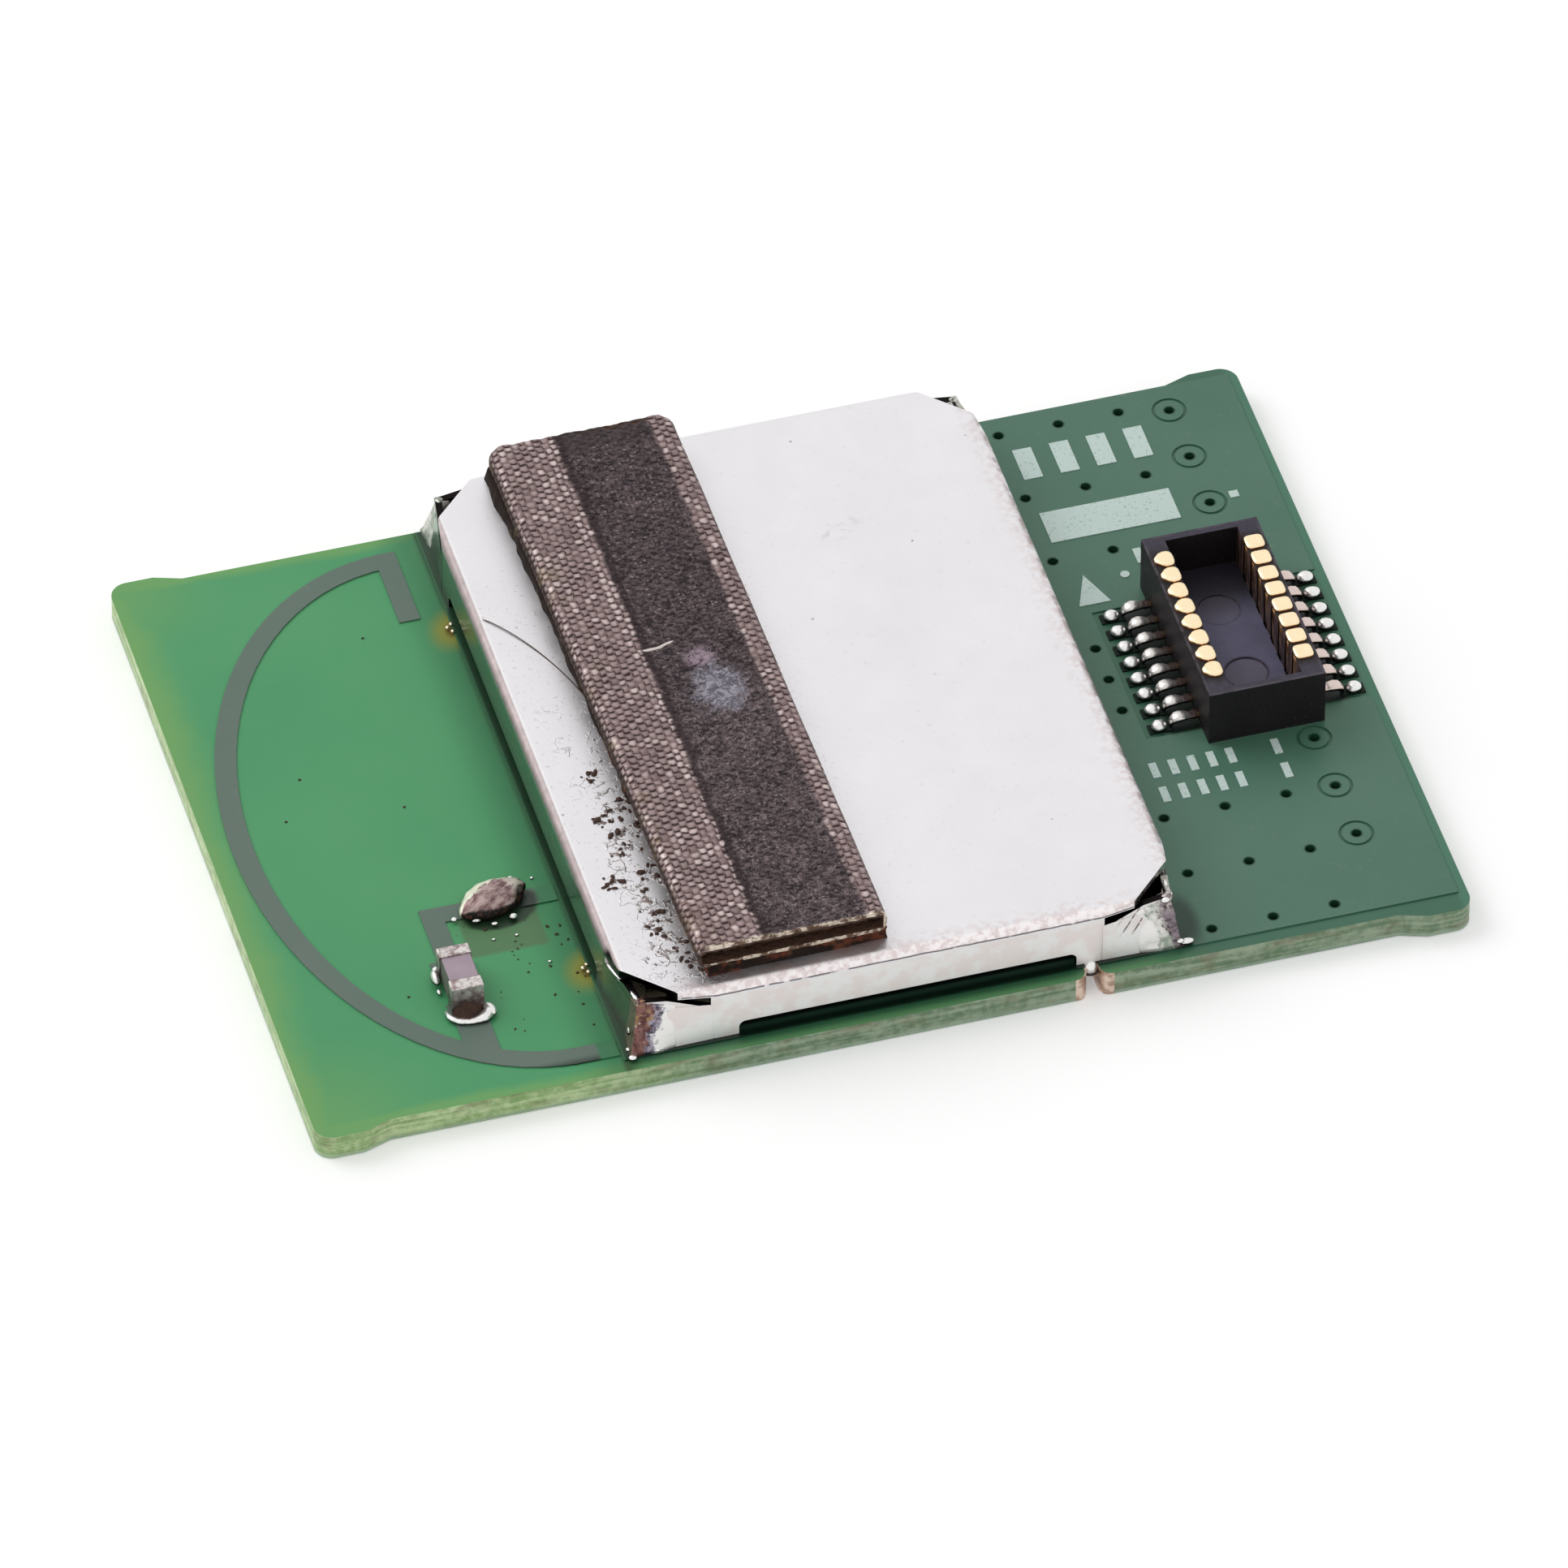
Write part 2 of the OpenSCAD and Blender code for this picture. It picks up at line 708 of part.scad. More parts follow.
module matching_capacitor() {
    color([0.60, 0.53, 0.60])
        at_match_cap()
            chip_body(match_cap_l, match_cap_w, match_cap_h, match_terminal_l, terminal_wall);
}

module matching_capacitor_terminals() {
    color([0.70, 0.69, 0.69])
        at_match_cap()
            chip_terminals(match_cap_l, match_cap_w, match_cap_h, match_terminal_l,
                           terminal_wall);
}

// Solder drawn up from a land to an upright face, hollow in section, w long
module solder_fillet(w, reach, h, hollow) {
    chord = sqrt(reach * reach + h * h);
    r = (chord * chord / 4 + hollow * hollow) / (2 * hollow);
    lift = (r - hollow) / chord;
    rotate([90, 0, 0])
        linear_extrude(w, center = true)
            difference() {
                square([reach + foot_edge, h + foot_edge]);
                translate([reach / 2 + h * lift, h / 2 + reach * lift]) circle(r);
            }
}

module matching_capacitor_solder() {
    color([0.78, 0.78, 0.76])
        at_match_cap()
            for (side = [0, 1])
                mirror([side, 0, 0])
                    translate([match_cap_l / 2, 0, 0])
                        solder_fillet(match_cap_w, match_pad_reach, match_solder_h,
                                      match_solder_hollow);
}

// A drop of solder that ran out along x, flat underneath
module bridge_solder() {
    ball_r = (bridge_w * bridge_w / 4 + bridge_h * bridge_h) / (2 * bridge_h);
    half_l = (bridge_l - bridge_w) / 2;
    color([0.66, 0.62, 0.60])
        translate([bridge_x, bridge_y, copper_z])
            intersection() {
                translate([0, 0, bridge_h - ball_r]) {
                    for (x = [-half_l, half_l])
                        translate([x, 0, 0]) sphere(ball_r);
                    rotate([0, 90, 0]) cylinder(r = ball_r, h = 2 * half_l, center = true);
                }
                translate([-far, -far, 0]) cube([2 * far, 2 * far, far]);
            }
}

// Shield can

// Distance that the corner point moves in when the outline is inset
function corner_in(inset) = flap_in + inset * flap_len / flap_l;

// Distance from the corner to the crease of a leaning wall end, on an inset outline
function crease_l(inset) = flap_l + inset * (flap_len - flap_run) / flap_in;

// The three points of one corner, in the order of a turn against the clock
function corner_points(sx, sy, inset) =
    let (
        x = can_l / 2,
        y = can_w / 2,
        side = [sx * (x - inset), sy * (y - crease_l(inset))],
        tip = [sx * (x - corner_in(inset)), sy * (y - corner_in(inset))],
        end = [sx * (x - crease_l(inset)), sy * (y - inset)]
    )
    sx * sy > 0 ? [side, tip, end] : [end, tip, side];

module can_outline(inset) {
    polygon(concat(
        corner_points(1, 1, inset), corner_points(-1, 1, inset),
        corner_points(-1, -1, inset), corner_points(1, -1, inset)
    ));
}

// Cross-section of the can between two opposite walls
module can_section(half_l, h, r) {
    translate([-half_l, -over]) square([2 * half_l, h - r + over]);
    translate([-half_l + r, 0]) square([2 * (half_l - r), h]);
    for (x = [-1, 1])
        translate([x * (half_l - r), h - r]) circle(r);
}

module can_block(inset, h, r) {
    intersection() {
        translate([0, 0, -inset]) linear_extrude(h + inset) can_outline(inset);
        rotate([90, 0, 0])
            linear_extrude(2 * far, center = true) can_section(can_l / 2 - inset, h, r);
        rotate([90, 0, 90])
            linear_extrude(2 * far, center = true) can_section(can_w / 2 - inset, h, r);
    }
}

// Everything outside the lid's cut at the corner in +x, +y
module lid_corner_cut() {
    x = can_l / 2;
    y = can_w / 2;
    ease = lid_cut_r * tan(22.5);
    polygon([
        [x - lid_cut_l - over, y + over],
        [x + over, y - lid_cut_l - over],
        [x + over, y + over]
    ]);
    // The two ends of the cut turn into the sides on an arc
    for (swap = [0, 1])
        translate([x, y])
            rotate([0, 0, swap ? -90 : 0])
                mirror([swap, 0])
                    difference() {
                        polygon([
                            [over, -lid_cut_l - ease],
                            [0, -lid_cut_l - ease],
                            [-ease * sqrt(0.5), -lid_cut_l + ease * sqrt(0.5)],
                            [over, -lid_cut_l + ease]
                        ]);
                        translate([-lid_cut_r, -lid_cut_l - ease]) circle(lid_cut_r);
                    }
}

// Relief slot under a fold: deepest at its end and rising to the corner
module relief_slot() {
    rise_l = lid_cut_l - slot_rise_gap;
    polygon([
        [slot_end_l, fold_line_h - slot_depth],
        [slot_end_l, fold_line_h + slot_overlap],
        [-over, fold_line_h + slot_overlap],
        [-over, fold_line_h],
        [rise_l, fold_line_h]
    ]);
}

// Tab of the can's front foot, which dips into the edge notch
module can_tab() {
    translate([notch_x - tab_w / 2, can_y0, deck_z - tab_depth])
        cube([tab_w, sheet_t, tab_depth + copper_t + wall_gap_h / 2]);
}

module shield_can() {
    color([0.88, 0.88, 0.89]) {
        can_tab();
        translate([can_cx, can_cy, copper_z])
            difference() {
                can_block(0, can_h, fold_r);
                can_block(sheet_t, can_h - sheet_t, fold_inner_r);
                for (sx = [0, 1], sy = [0, 1])
                    mirror([sx, 0, 0]) mirror([0, sy, 0]) {
                        translate([0, 0, fold_line_h])
                            linear_extrude(over + fold_r) lid_corner_cut();
                        translate([can_l / 2, can_w / 2 + over, 0])
                            rotate([90, 0, 0])
                                mirror([1, 0, 0])
                                    linear_extrude(over + corner_in(sheet_t) + sheet_t)
                                        relief_slot();
                        translate([can_l / 2 + over, can_w / 2, 0])
                            rotate([90, 0, -90])
                                linear_extrude(over + corner_in(sheet_t) + sheet_t)
                                    relief_slot();
                    }
                rotate([90, 0, 0])
                    linear_extrude(2 * far, center = true) wall_gap(can_l - 2 * foot_l);
                rotate([90, 0, 90])
                    linear_extrude(2 * far, center = true) wall_gap(can_w - 2 * foot_l);
            }
    }
}

// Gap between two feet, open at the bottom
module wall_gap(l) {
    translate([-l / 2, -over]) square([l, over + wall_gap_h - wall_gap_r]);
    translate([-l / 2 + wall_gap_r, -over]) square([l - 2 * wall_gap_r, over + wall_gap_h]);
    for (x = [-1, 1])
        translate([x * (l / 2 - wall_gap_r), wall_gap_h - wall_gap_r]) circle(wall_gap_r);
}

// Upright bead of solder with a hollow foot and a round top
module solder_bead() {
    foot = bead_foot_r - bead_r;
    rotate_extrude()
        intersection() {
            union() {
                square([bead_r, bead_h - bead_r]);
                translate([0, bead_h - bead_r]) circle(bead_r);
                difference() {
                    square([bead_foot_r, foot]);
                    translate([bead_foot_r, foot]) circle(foot - foot_edge);
                }
            }
            square(far);
        }
}

// Solder in the seam of each corner, and round the tab in the edge notch
module shield_solder() {
    x = can_l / 2 - flap_in - bead_in * sqrt(0.5);
    y = can_w / 2 - flap_in - bead_in * sqrt(0.5);
    color([0.60, 0.55, 0.52]) {
        translate([can_cx, can_cy, copper_z])
            difference() {
                for (sx = [-1, 1], sy = [-1, 1])
                    translate([sx * x, sy * y, 0]) solder_bead();
                translate([0, 0, -over])
                    linear_extrude(can_h + 2 * over) can_outline(0);
                translate([-far, back_y - pour_back_rim - can_cy, -over])
                    cube([2 * far, far, can_h + 2 * over]);
            }
        difference() {
            translate([0, 0, deck_z - tab_solder_h])
                linear_extrude(tab_solder_h)
                    intersection() {
                        notch_shape(plating_t);
                        translate([-far, can_y0]) square([2 * far, far]);
                    }
            can_tab();
        }
    }
}

// Gasket

module gasket_adhesive() {
    color([0.20, 0.17, 0.17])
        translate([gasket_x, gasket_y, lid_z])
            rotate([0, 0, adhesive_angle]) block(adhesive_w, adhesive_l, adhesive_t);
}

// Bar with round long edges, lying along y on z = 0
module gasket_bar(w, l, h, r) {
    translate([0, 0, h / 2])
        rotate([90, 0, 0]) linear_extrude(l, center = true) round_rect(w, h, r);
}

module at_gasket() {
    translate([gasket_x, gasket_y, gasket_z]) rotate([0, 0, gasket_angle]) children();
}

module gasket_foam() {
    color([0.35, 0.27, 0.20])
        at_gasket()
            translate([0, 0, fabric_t])
                gasket_bar(gasket_w - 2 * fabric_t, gasket_l - 2 * foam_recess,
                           gasket_t - 2 * fabric_t, gasket_edge_r - fabric_t);
}

module gasket_fabric() {
    color([0.50, 0.43, 0.42])
        at_gasket()
            difference() {
                gasket_bar(gasket_w, gasket_l, gasket_t, gasket_edge_r);
                translate([0, 0, fabric_t])
                    gasket_bar(gasket_w - 2 * fabric_t, gasket_l + 2 * over,
                               gasket_t - 2 * fabric_t, gasket_edge_r - fabric_t);
            }
}

// Connector

module at_connector() {
    translate([connector_x, connector_y, copper_z]) children();
}

module connector_housing() {
    groove_w = contact_w + 2 * contact_gap;
    arm_top = contact_arm_h + contact_t + contact_gap;
    color([0.10, 0.09, 0.11])
        at_connector()
            difference() {
                block(housing_l, housing_w, housing_h);
                translate([0, 0, socket_floor_t]) block(socket_l, socket_w, housing_h);
                for (y = [-1, 1])
                    translate([0, y * eject_mark_gap, socket_floor_t - eject_mark_depth])
                        cylinder(r = eject_mark_r, h = housing_h);
                for (side = [0, 1])
                    mirror([side, 0, 0])
                        row_y(contact_count, contact_pitch) {
                            translate([wall_in - contact_gap, -groove_w / 2, -over])
                                cube([contact_t + 2 * contact_gap, groove_w,
                                      housing_h + 2 * over]);
                            translate([wall_in - contact_gap, -groove_w / 2, -over])
                                cube([housing_l, groove_w, arm_top + over]);
                        }
            }
}

// One contact: foot, step, arm through the wall, strip up the wall and folded head
module contact() {
    arm_z0 = contact_arm_h;
    arm_z1 = contact_arm_h + contact_t;
    strip_x = wall_in + contact_t;
    foot_x = contact_tip - contact_foot_l;
    rotate([90, 0, 0])
        linear_extrude(contact_w, center = true)
            polygon([
                [contact_tip, 0], [contact_tip, contact_t],
                [foot_x + contact_step / 2, contact_t], [foot_x - contact_step / 2, arm_z1],
                [strip_x, arm_z1], [strip_x, housing_h],
                [head_reach, housing_h], [head_reach, housing_h + contact_t / 2],
                [wall_in, housing_h + contact_t / 2], [wall_in, arm_z0],
                [foot_x - contact_step, arm_z0], [foot_x, 0]
            ]);
    translate([wall_in, -contact_head_w / 2, housing_h])
        cube([head_reach - wall_in, contact_head_w, contact_t / 2]);
}

module connector_contacts_inboard() {
    color([0.93, 0.78, 0.50])
        at_connector() mirror([1, 0, 0]) row_y(contact_count, contact_pitch) contact();
}

module connector_contacts_outboard() {
    color([0.93, 0.78, 0.50])
        at_connector() row_y(contact_count, contact_pitch) contact();
}

module connector_pads() {
    x0 = contact_tip - contact_foot_l - pad_heel;
    w = contact_w + 2 * pad_side;
    color([0.80, 0.66, 0.42])
        at_connector()
            for (side = [0, 1])
                mirror([side, 0, 0])
                    row_y(contact_count, contact_pitch)
                        translate([x0, -w / 2, -copper_t])
                            cube([contact_tip + pad_toe - x0, w, copper_t]);
}

module connector_solder() {
    color([0.82, 0.82, 0.82])
        at_connector()
            for (side = [0, 1])
                mirror([side, 0, 0])
                    row_y(contact_count, contact_pitch)
                        translate([contact_tip, 0, 0])
                            solder_fillet(contact_w, pad_toe, contact_t,
                                          contact_solder_hollow);
}

// Parts under the can

module flat_package(l, w, h) {
    translate([0, 0, package_lift]) block(l, w, h - package_lift);
}

module radio_chip() {
    color([0.13, 0.13, 0.14])
        translate([radio_x, radio_y, copper_z]) flat_package(radio_l, radio_l, radio_h);
}

module radio_chip_pads() {
    color([0.75, 0.73, 0.68])
        translate([radio_x, radio_y, copper_z]) {
            block(radio_l * 0.6, radio_l * 0.6, package_lift);
            four_sides()
                row_y(radio_pins, min(pin_pitch, radio_l / (radio_pins + 2)))
                    translate([radio_l / 2 - pin_l, -pin_w / 2, 0])
                        cube([pin_l, pin_w, package_lift]);
        }
}

module front_end_chip() {
    color([0.15, 0.15, 0.16])
        translate([column_x0 + front_end_l / 2, front_end_y, copper_z])
            flat_package(front_end_l, front_end_l, front_end_h);
}

module front_end_pads() {
    color([0.75, 0.73, 0.68])
        translate([column_x0 + front_end_l / 2, front_end_y, copper_z]) {
            block(front_end_l * 0.5, front_end_l * 0.5, package_lift);
            four_sides()
                row_y(front_end_pins, min(pin_pitch, front_end_l / (front_end_pins + 1)))
                    translate([front_end_l / 2 - pin_l, -pin_w / 2, 0])
                        cube([pin_l, pin_w, package_lift]);
        }
}

module memory_chip() {
    color([0.14, 0.14, 0.15])
        translate([radio_x, memory_y, copper_z]) flat_package(memory_l, memory_w, memory_h);
}

module memory_pads() {
    color([0.75, 0.73, 0.68])
        translate([radio_x, memory_y, copper_z])
            for (y = [0, 1])
                mirror([0, y, 0])
                    row_x(memory_pins, pin_pitch)
                        translate([-pin_w / 2, memory_w / 2 - pin_l, 0])
                            cube([pin_w, pin_l, package_lift]);
}

module crystal_base() {
    color([0.75, 0.70, 0.62])
        translate([column_x0 + crystal_l / 2, crystal_y, copper_z])
            block(crystal_l, crystal_w, crystal_h - crystal_lid_t);
}

module crystal_lid() {
    color([0.80, 0.78, 0.72])
        translate([column_x0 + crystal_l / 2, crystal_y, copper_z + crystal_h - crystal_lid_t])
            block(crystal_l - 2 * crystal_rim, crystal_w - 2 * crystal_rim, crystal_lid_t);
}

module band_filter() {
    color([0.85, 0.85, 0.80])
        translate([column_x0 + filter_l / 2, filter_y, copper_z])
            chip_body(filter_l, filter_w, filter_h, filter_terminal_l, terminal_wall);
}

module band_filter_terminals() {
    color([0.78, 0.78, 0.76])
        translate([column_x0 + filter_l / 2, filter_y, copper_z])
            chip_terminals(filter_l, filter_w, filter_h, filter_terminal_l, terminal_wall);
}

module inductor_core() {
    color([0.32, 0.31, 0.32])
        translate([column_x0 + inductor_l / 2, inductor_y, copper_z])
            chip_body(inductor_l, inductor_w, inductor_h, inductor_terminal_l, terminal_wall);
}

module inductor_terminals() {
    color([0.78, 0.78, 0.76])
        translate([column_x0 + inductor_l / 2, inductor_y, copper_z])
            chip_terminals(inductor_l, inductor_w, inductor_h, inductor_terminal_l,
                           terminal_wall);
}

module at_small_caps() {
    translate([radio_x, small_cap_y, copper_z])
        row_x(small_cap_count, small_pitch) rotate([0, 0, 90]) children();
}

module small_capacitors() {
    color([0.62, 0.52, 0.40])
        at_small_caps()
            chip_body(small_l, small_w, small_cap_h, small_terminal_l, terminal_wall);
}

module small_capacitor_terminals() {
    color([0.78, 0.78, 0.76])
        at_small_caps()
            chip_terminals(small_l, small_w, small_cap_h, small_terminal_l, terminal_wall);
}

module at_resistors() {
    translate([radio_x, resistor_y, copper_z])
        row_x(resistor_count, small_pitch) rotate([0, 0, 90]) children();
}

module resistors() {
    color([0.12, 0.12, 0.13])
        at_resistors()
            chip_body(small_l, small_w, resistor_h, small_terminal_l, terminal_wall);
}

module resistor_terminals() {
    color([0.78, 0.78, 0.76])
        at_resistors()
            chip_terminals(small_l, small_w, resistor_h, small_terminal_l, terminal_wall);
}

circuit_board();
ground_pour();
antenna_trace();
matching_trace();
feed_trace();
via_barrels();
notch_plating();
printed_marks();
matching_capacitor();
matching_capacitor_terminals();
matching_capacitor_solder();
bridge_solder();
shield_can();
shield_solder();
gasket_adhesive();
gasket_foam();
gasket_fabric();
connector_housing();
connector_contacts_inboard();
connector_contacts_outboard();
connector_pads();
connector_solder();
radio_chip();
radio_chip_pads();
front_end_chip();
front_end_pads();
memory_chip();
memory_pads();
crystal_base();
crystal_lid();
band_filter();
band_filter_terminals();
inductor_core();
inductor_terminals();
small_capacitors();
small_capacitor_terminals();
resistors();
resistor_terminals();
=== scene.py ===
import json
import math
import random

import bmesh
import bpy
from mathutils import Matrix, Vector, noise


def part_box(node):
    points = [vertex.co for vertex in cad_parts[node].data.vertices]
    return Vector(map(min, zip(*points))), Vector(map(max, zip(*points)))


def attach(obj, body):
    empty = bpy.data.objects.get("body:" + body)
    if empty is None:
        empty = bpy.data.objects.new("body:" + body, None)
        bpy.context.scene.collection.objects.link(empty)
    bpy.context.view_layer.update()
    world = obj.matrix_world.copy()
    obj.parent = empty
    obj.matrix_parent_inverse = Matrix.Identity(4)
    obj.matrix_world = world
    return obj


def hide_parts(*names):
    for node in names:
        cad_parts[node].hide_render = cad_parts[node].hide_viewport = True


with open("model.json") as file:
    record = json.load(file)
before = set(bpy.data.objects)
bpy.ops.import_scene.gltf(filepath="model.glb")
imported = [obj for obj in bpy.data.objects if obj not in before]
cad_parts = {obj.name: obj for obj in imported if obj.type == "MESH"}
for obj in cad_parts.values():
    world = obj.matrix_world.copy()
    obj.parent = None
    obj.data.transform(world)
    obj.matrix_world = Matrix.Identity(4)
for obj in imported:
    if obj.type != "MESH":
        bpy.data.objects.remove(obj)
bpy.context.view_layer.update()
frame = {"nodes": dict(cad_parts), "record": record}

# A small radio module on a pale table. Lengths here are in millimetres, in the part's own
# frame, until they are handed to Blender, which takes metres.
MM = 0.001
NODES = frame["nodes"]


def box(node):
    """Lowest and highest corner of a CAD node, in millimetres."""
    low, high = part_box(node)
    return Vector(low) / MM, Vector(high) / MM


BOARD_LOW, BOARD_HIGH = box("circuit_board")
CAN_LOW, CAN_HIGH = box("shield_can")
FABRIC_LOW, FABRIC_HIGH = box("gasket_fabric")
HOUSING_LOW, HOUSING_HIGH = box("connector_housing")
CAP_LOW, CAP_HIGH = box("matching_capacitor_terminals")
BRIDGE_LOW, BRIDGE_HIGH = box("bridge_solder")
COPPER_TOP = HOUSING_LOW.z
BOARD_TOP = BOARD_HIGH.z
LID_TOP = FABRIC_LOW.z - 0.28

# The gasket: cloth round a foam bar, glued on the lid a little askew
GASKET_TURN = 0.65
GASKET_MIDDLE = (FABRIC_LOW + FABRIC_HIGH) / 2
GASKET_HALF_L = 7.975
GASKET_HALF_W = 2.06
GASKET_HALF_T = (FABRIC_HIGH.z - FABRIC_LOW.z) / 2
GASKET_EDGE_R = 0.22
CLOTH_T = 0.1
LUMP_U = 0.16
LUMP_V = 0.2
HOLE_HALF_U = 0.06
HOLE_HALF_V = 0.035
WEAVE_DEPTH = 0.03
WEAVE_CALM = 0.06
STRIP_LEFT = -0.6
STRIP_RIGHT = 1.57
ADHESIVE_TURN = 1.6

# Front wall of the can, whose tab reaches further down into the board's edge notch, and
# its corners, which the walls' ends lean in to
CAN_FRONT = -8.05
FLAP_IN = 0.28
FLAP_L = 1.9
FLAP_TOP = 1.815
SHEET_T = 0.15
NOTCH_X = 4.29

# How much of the can's front wall trades its metal for a painted near-white reflection of the pale
# floor
WALL_REFLECTION_PAINT = 0.75

# The board's long sides, without the broken-off stubs that stand proud of them
BOARD_HIGH_Y = 8.45
EJECT_MARKS = ((-1.0, 1.0), (1.0, 0.5))
BRIDGE_MIDDLE = (BRIDGE_LOW + BRIDGE_HIGH) / 2
GOLD_SPOT_Y = (5.35, -5.34)
DIRT_SPOTS = (
    (-4.3, -2.3, 0.3), (-4.35, -3.0, 0.4), (-4.5, -3.6, 0.42), (-4.2, -4.3, 0.25),
    (-4.5, -5.1, 0.5), (-4.15, -5.8, 0.4), (-4.1, -6.45, 0.35), (-4.5, -6.0, 0.3),
    (-4.6, -1.2, 0.2), (-5.0, -4.4, 0.22), (-4.0, -7.1, 0.3), (-4.7, -2.6, 0.2),
)


# Camera, stage and light ---------------------------------------------------------------

VIEW_AZIMUTH = math.radians(-16.02)
VIEW_ELEVATION = math.radians(44.03)
VIEW_DISTANCE = 400.2
VIEW_FOCAL = 435.8
VIEW_AIM = Vector((-0.094, -0.251, -0.277))


def direction(azimuth, elevation):
    """Unit vector that a viewer at this azimuth and elevation looks along."""
    flat = math.cos(elevation)
    return Vector((-math.sin(azimuth) * flat, math.cos(azimuth) * flat, -math.sin(elevation)))


def add_camera():
    data = bpy.data.cameras.new("camera")
    data.sensor_width = 36
    data.lens = VIEW_FOCAL
    data.clip_start = 0.01
    data.clip_end = 10
    camera = bpy.data.objects.new("camera", data)
    look = direction(VIEW_AZIMUTH, VIEW_ELEVATION)
    camera.location = (VIEW_AIM - look * VIEW_DISTANCE) * MM
    camera.rotation_euler = look.to_track_quat("-Z", "Y").to_euler()
    bpy.context.scene.collection.objects.link(camera)
    bpy.context.scene.camera = camera


def add_softbox(name, place, size, power, colour=(1, 1, 1)):
    data = bpy.data.lights.new(name, "AREA")
    data.shape = "RECTANGLE"
    data.size = size[0] * MM
    data.size_y = size[1] * MM
    data.energy = power
    data.color = colour
    lamp = bpy.data.objects.new(name, data)
    lamp.location = Vector(place) * MM
    lamp.rotation_euler = (-Vector(place)).to_track_quat("-Z", "Y").to_euler()
    bpy.context.scene.collection.objects.link(lamp)


def light_path_mask(tree):
    """1 for camera, mirror and transmission rays, 0 for the rest."""
    path = tree.nodes.new("ShaderNodeLightPath")
    total = path.outputs["Is Camera Ray"]
    for ray in ("Is Glossy Ray", "Is Transmission Ray"):
        add = tree.nodes.new("ShaderNodeMath")
        add.operation = "MAXIMUM"
        tree.links.new(total, add.inputs[0])
        tree.links.new(path.outputs[ray], add.inputs[1])
        total = add.outputs[0]
    return total


def add_world(fill):
    """White to the eye and in mirrors, and a softer fill for the rest."""
    world = bpy.data.worlds.new("studio")
    bpy.context.scene.world = world
    world.use_nodes = True
    tree = world.node_tree
    back = tree.nodes["Background"]
    back.inputs["Color"].default_value = (1, 1, 1, 1)
    level = tree.nodes.new("ShaderNodeMapRange")
    level.inputs["To Min"].default_value = fill
    level.inputs["To Max"].default_value = 1
    tree.links.new(light_path_mask(tree), level.inputs["Value"])
    tree.links.new(level.outputs[0], back.inputs["Strength"])


def add_floor(half_size):
    mesh = bpy.data.meshes.new("floor")
    corners = [(-half_size, -half_size), (half_size, -half_size),
               (half_size, half_size), (-half_size, half_size)]
    mesh.from_pydata([(x * MM, y * MM, -0.02 * MM) for x, y in corners], [], [(0, 1, 2, 3)])
    floor = bpy.data.objects.new("floor", mesh)
    bpy.context.scene.collection.objects.link(floor)
    material = bpy.data.materials.new("floor")
    material.use_nodes = True
    tree = material.node_tree
    tree.nodes.clear()
    out = tree.nodes.new("ShaderNodeOutputMaterial")
    paper = tree.nodes.new("ShaderNodeBsdfDiffuse")
    paper.inputs["Color"].default_value = (0.9, 0.9, 0.9, 1)
    glow = tree.nodes.new("ShaderNodeEmission")
    glow.inputs["Color"].default_value = (1, 1, 1, 1)
    lift = tree.nodes.new("ShaderNodeMath")
    lift.operation = "MULTIPLY"
    lift.inputs[1].default_value = 0.29
    both = tree.nodes.new("ShaderNodeAddShader")
    tree.links.new(light_path_mask(tree), lift.inputs[0])
    tree.links.new(lift.outputs[0], glow.inputs["Strength"])
    tree.links.new(paper.outputs[0], both.inputs[0])
    tree.links.new(glow.outputs[0], both.inputs[1])
    tree.links.new(both.outputs[0], out.inputs["Surface"])
    mesh.materials.append(material)


def add_stage():
    bpy.context.scene.view_settings.view_transform = "Standard"
    add_camera()
    add_world(0.62)
    add_floor(3000)
    add_softbox("key_light", (-260, 240, 330), (300, 300), 0.75)


# Material tools ------------------------------------------------------------------------

def rgb(red, green, blue):
    """A colour given as 0 to 255 display values, in linear light."""
    def linear(value):
        value /= 255
        return value / 12.92 if value <= 0.04045 else ((value + 0.055) / 1.055) ** 2.4
    return (linear(red), linear(green), linear(blue), 1)


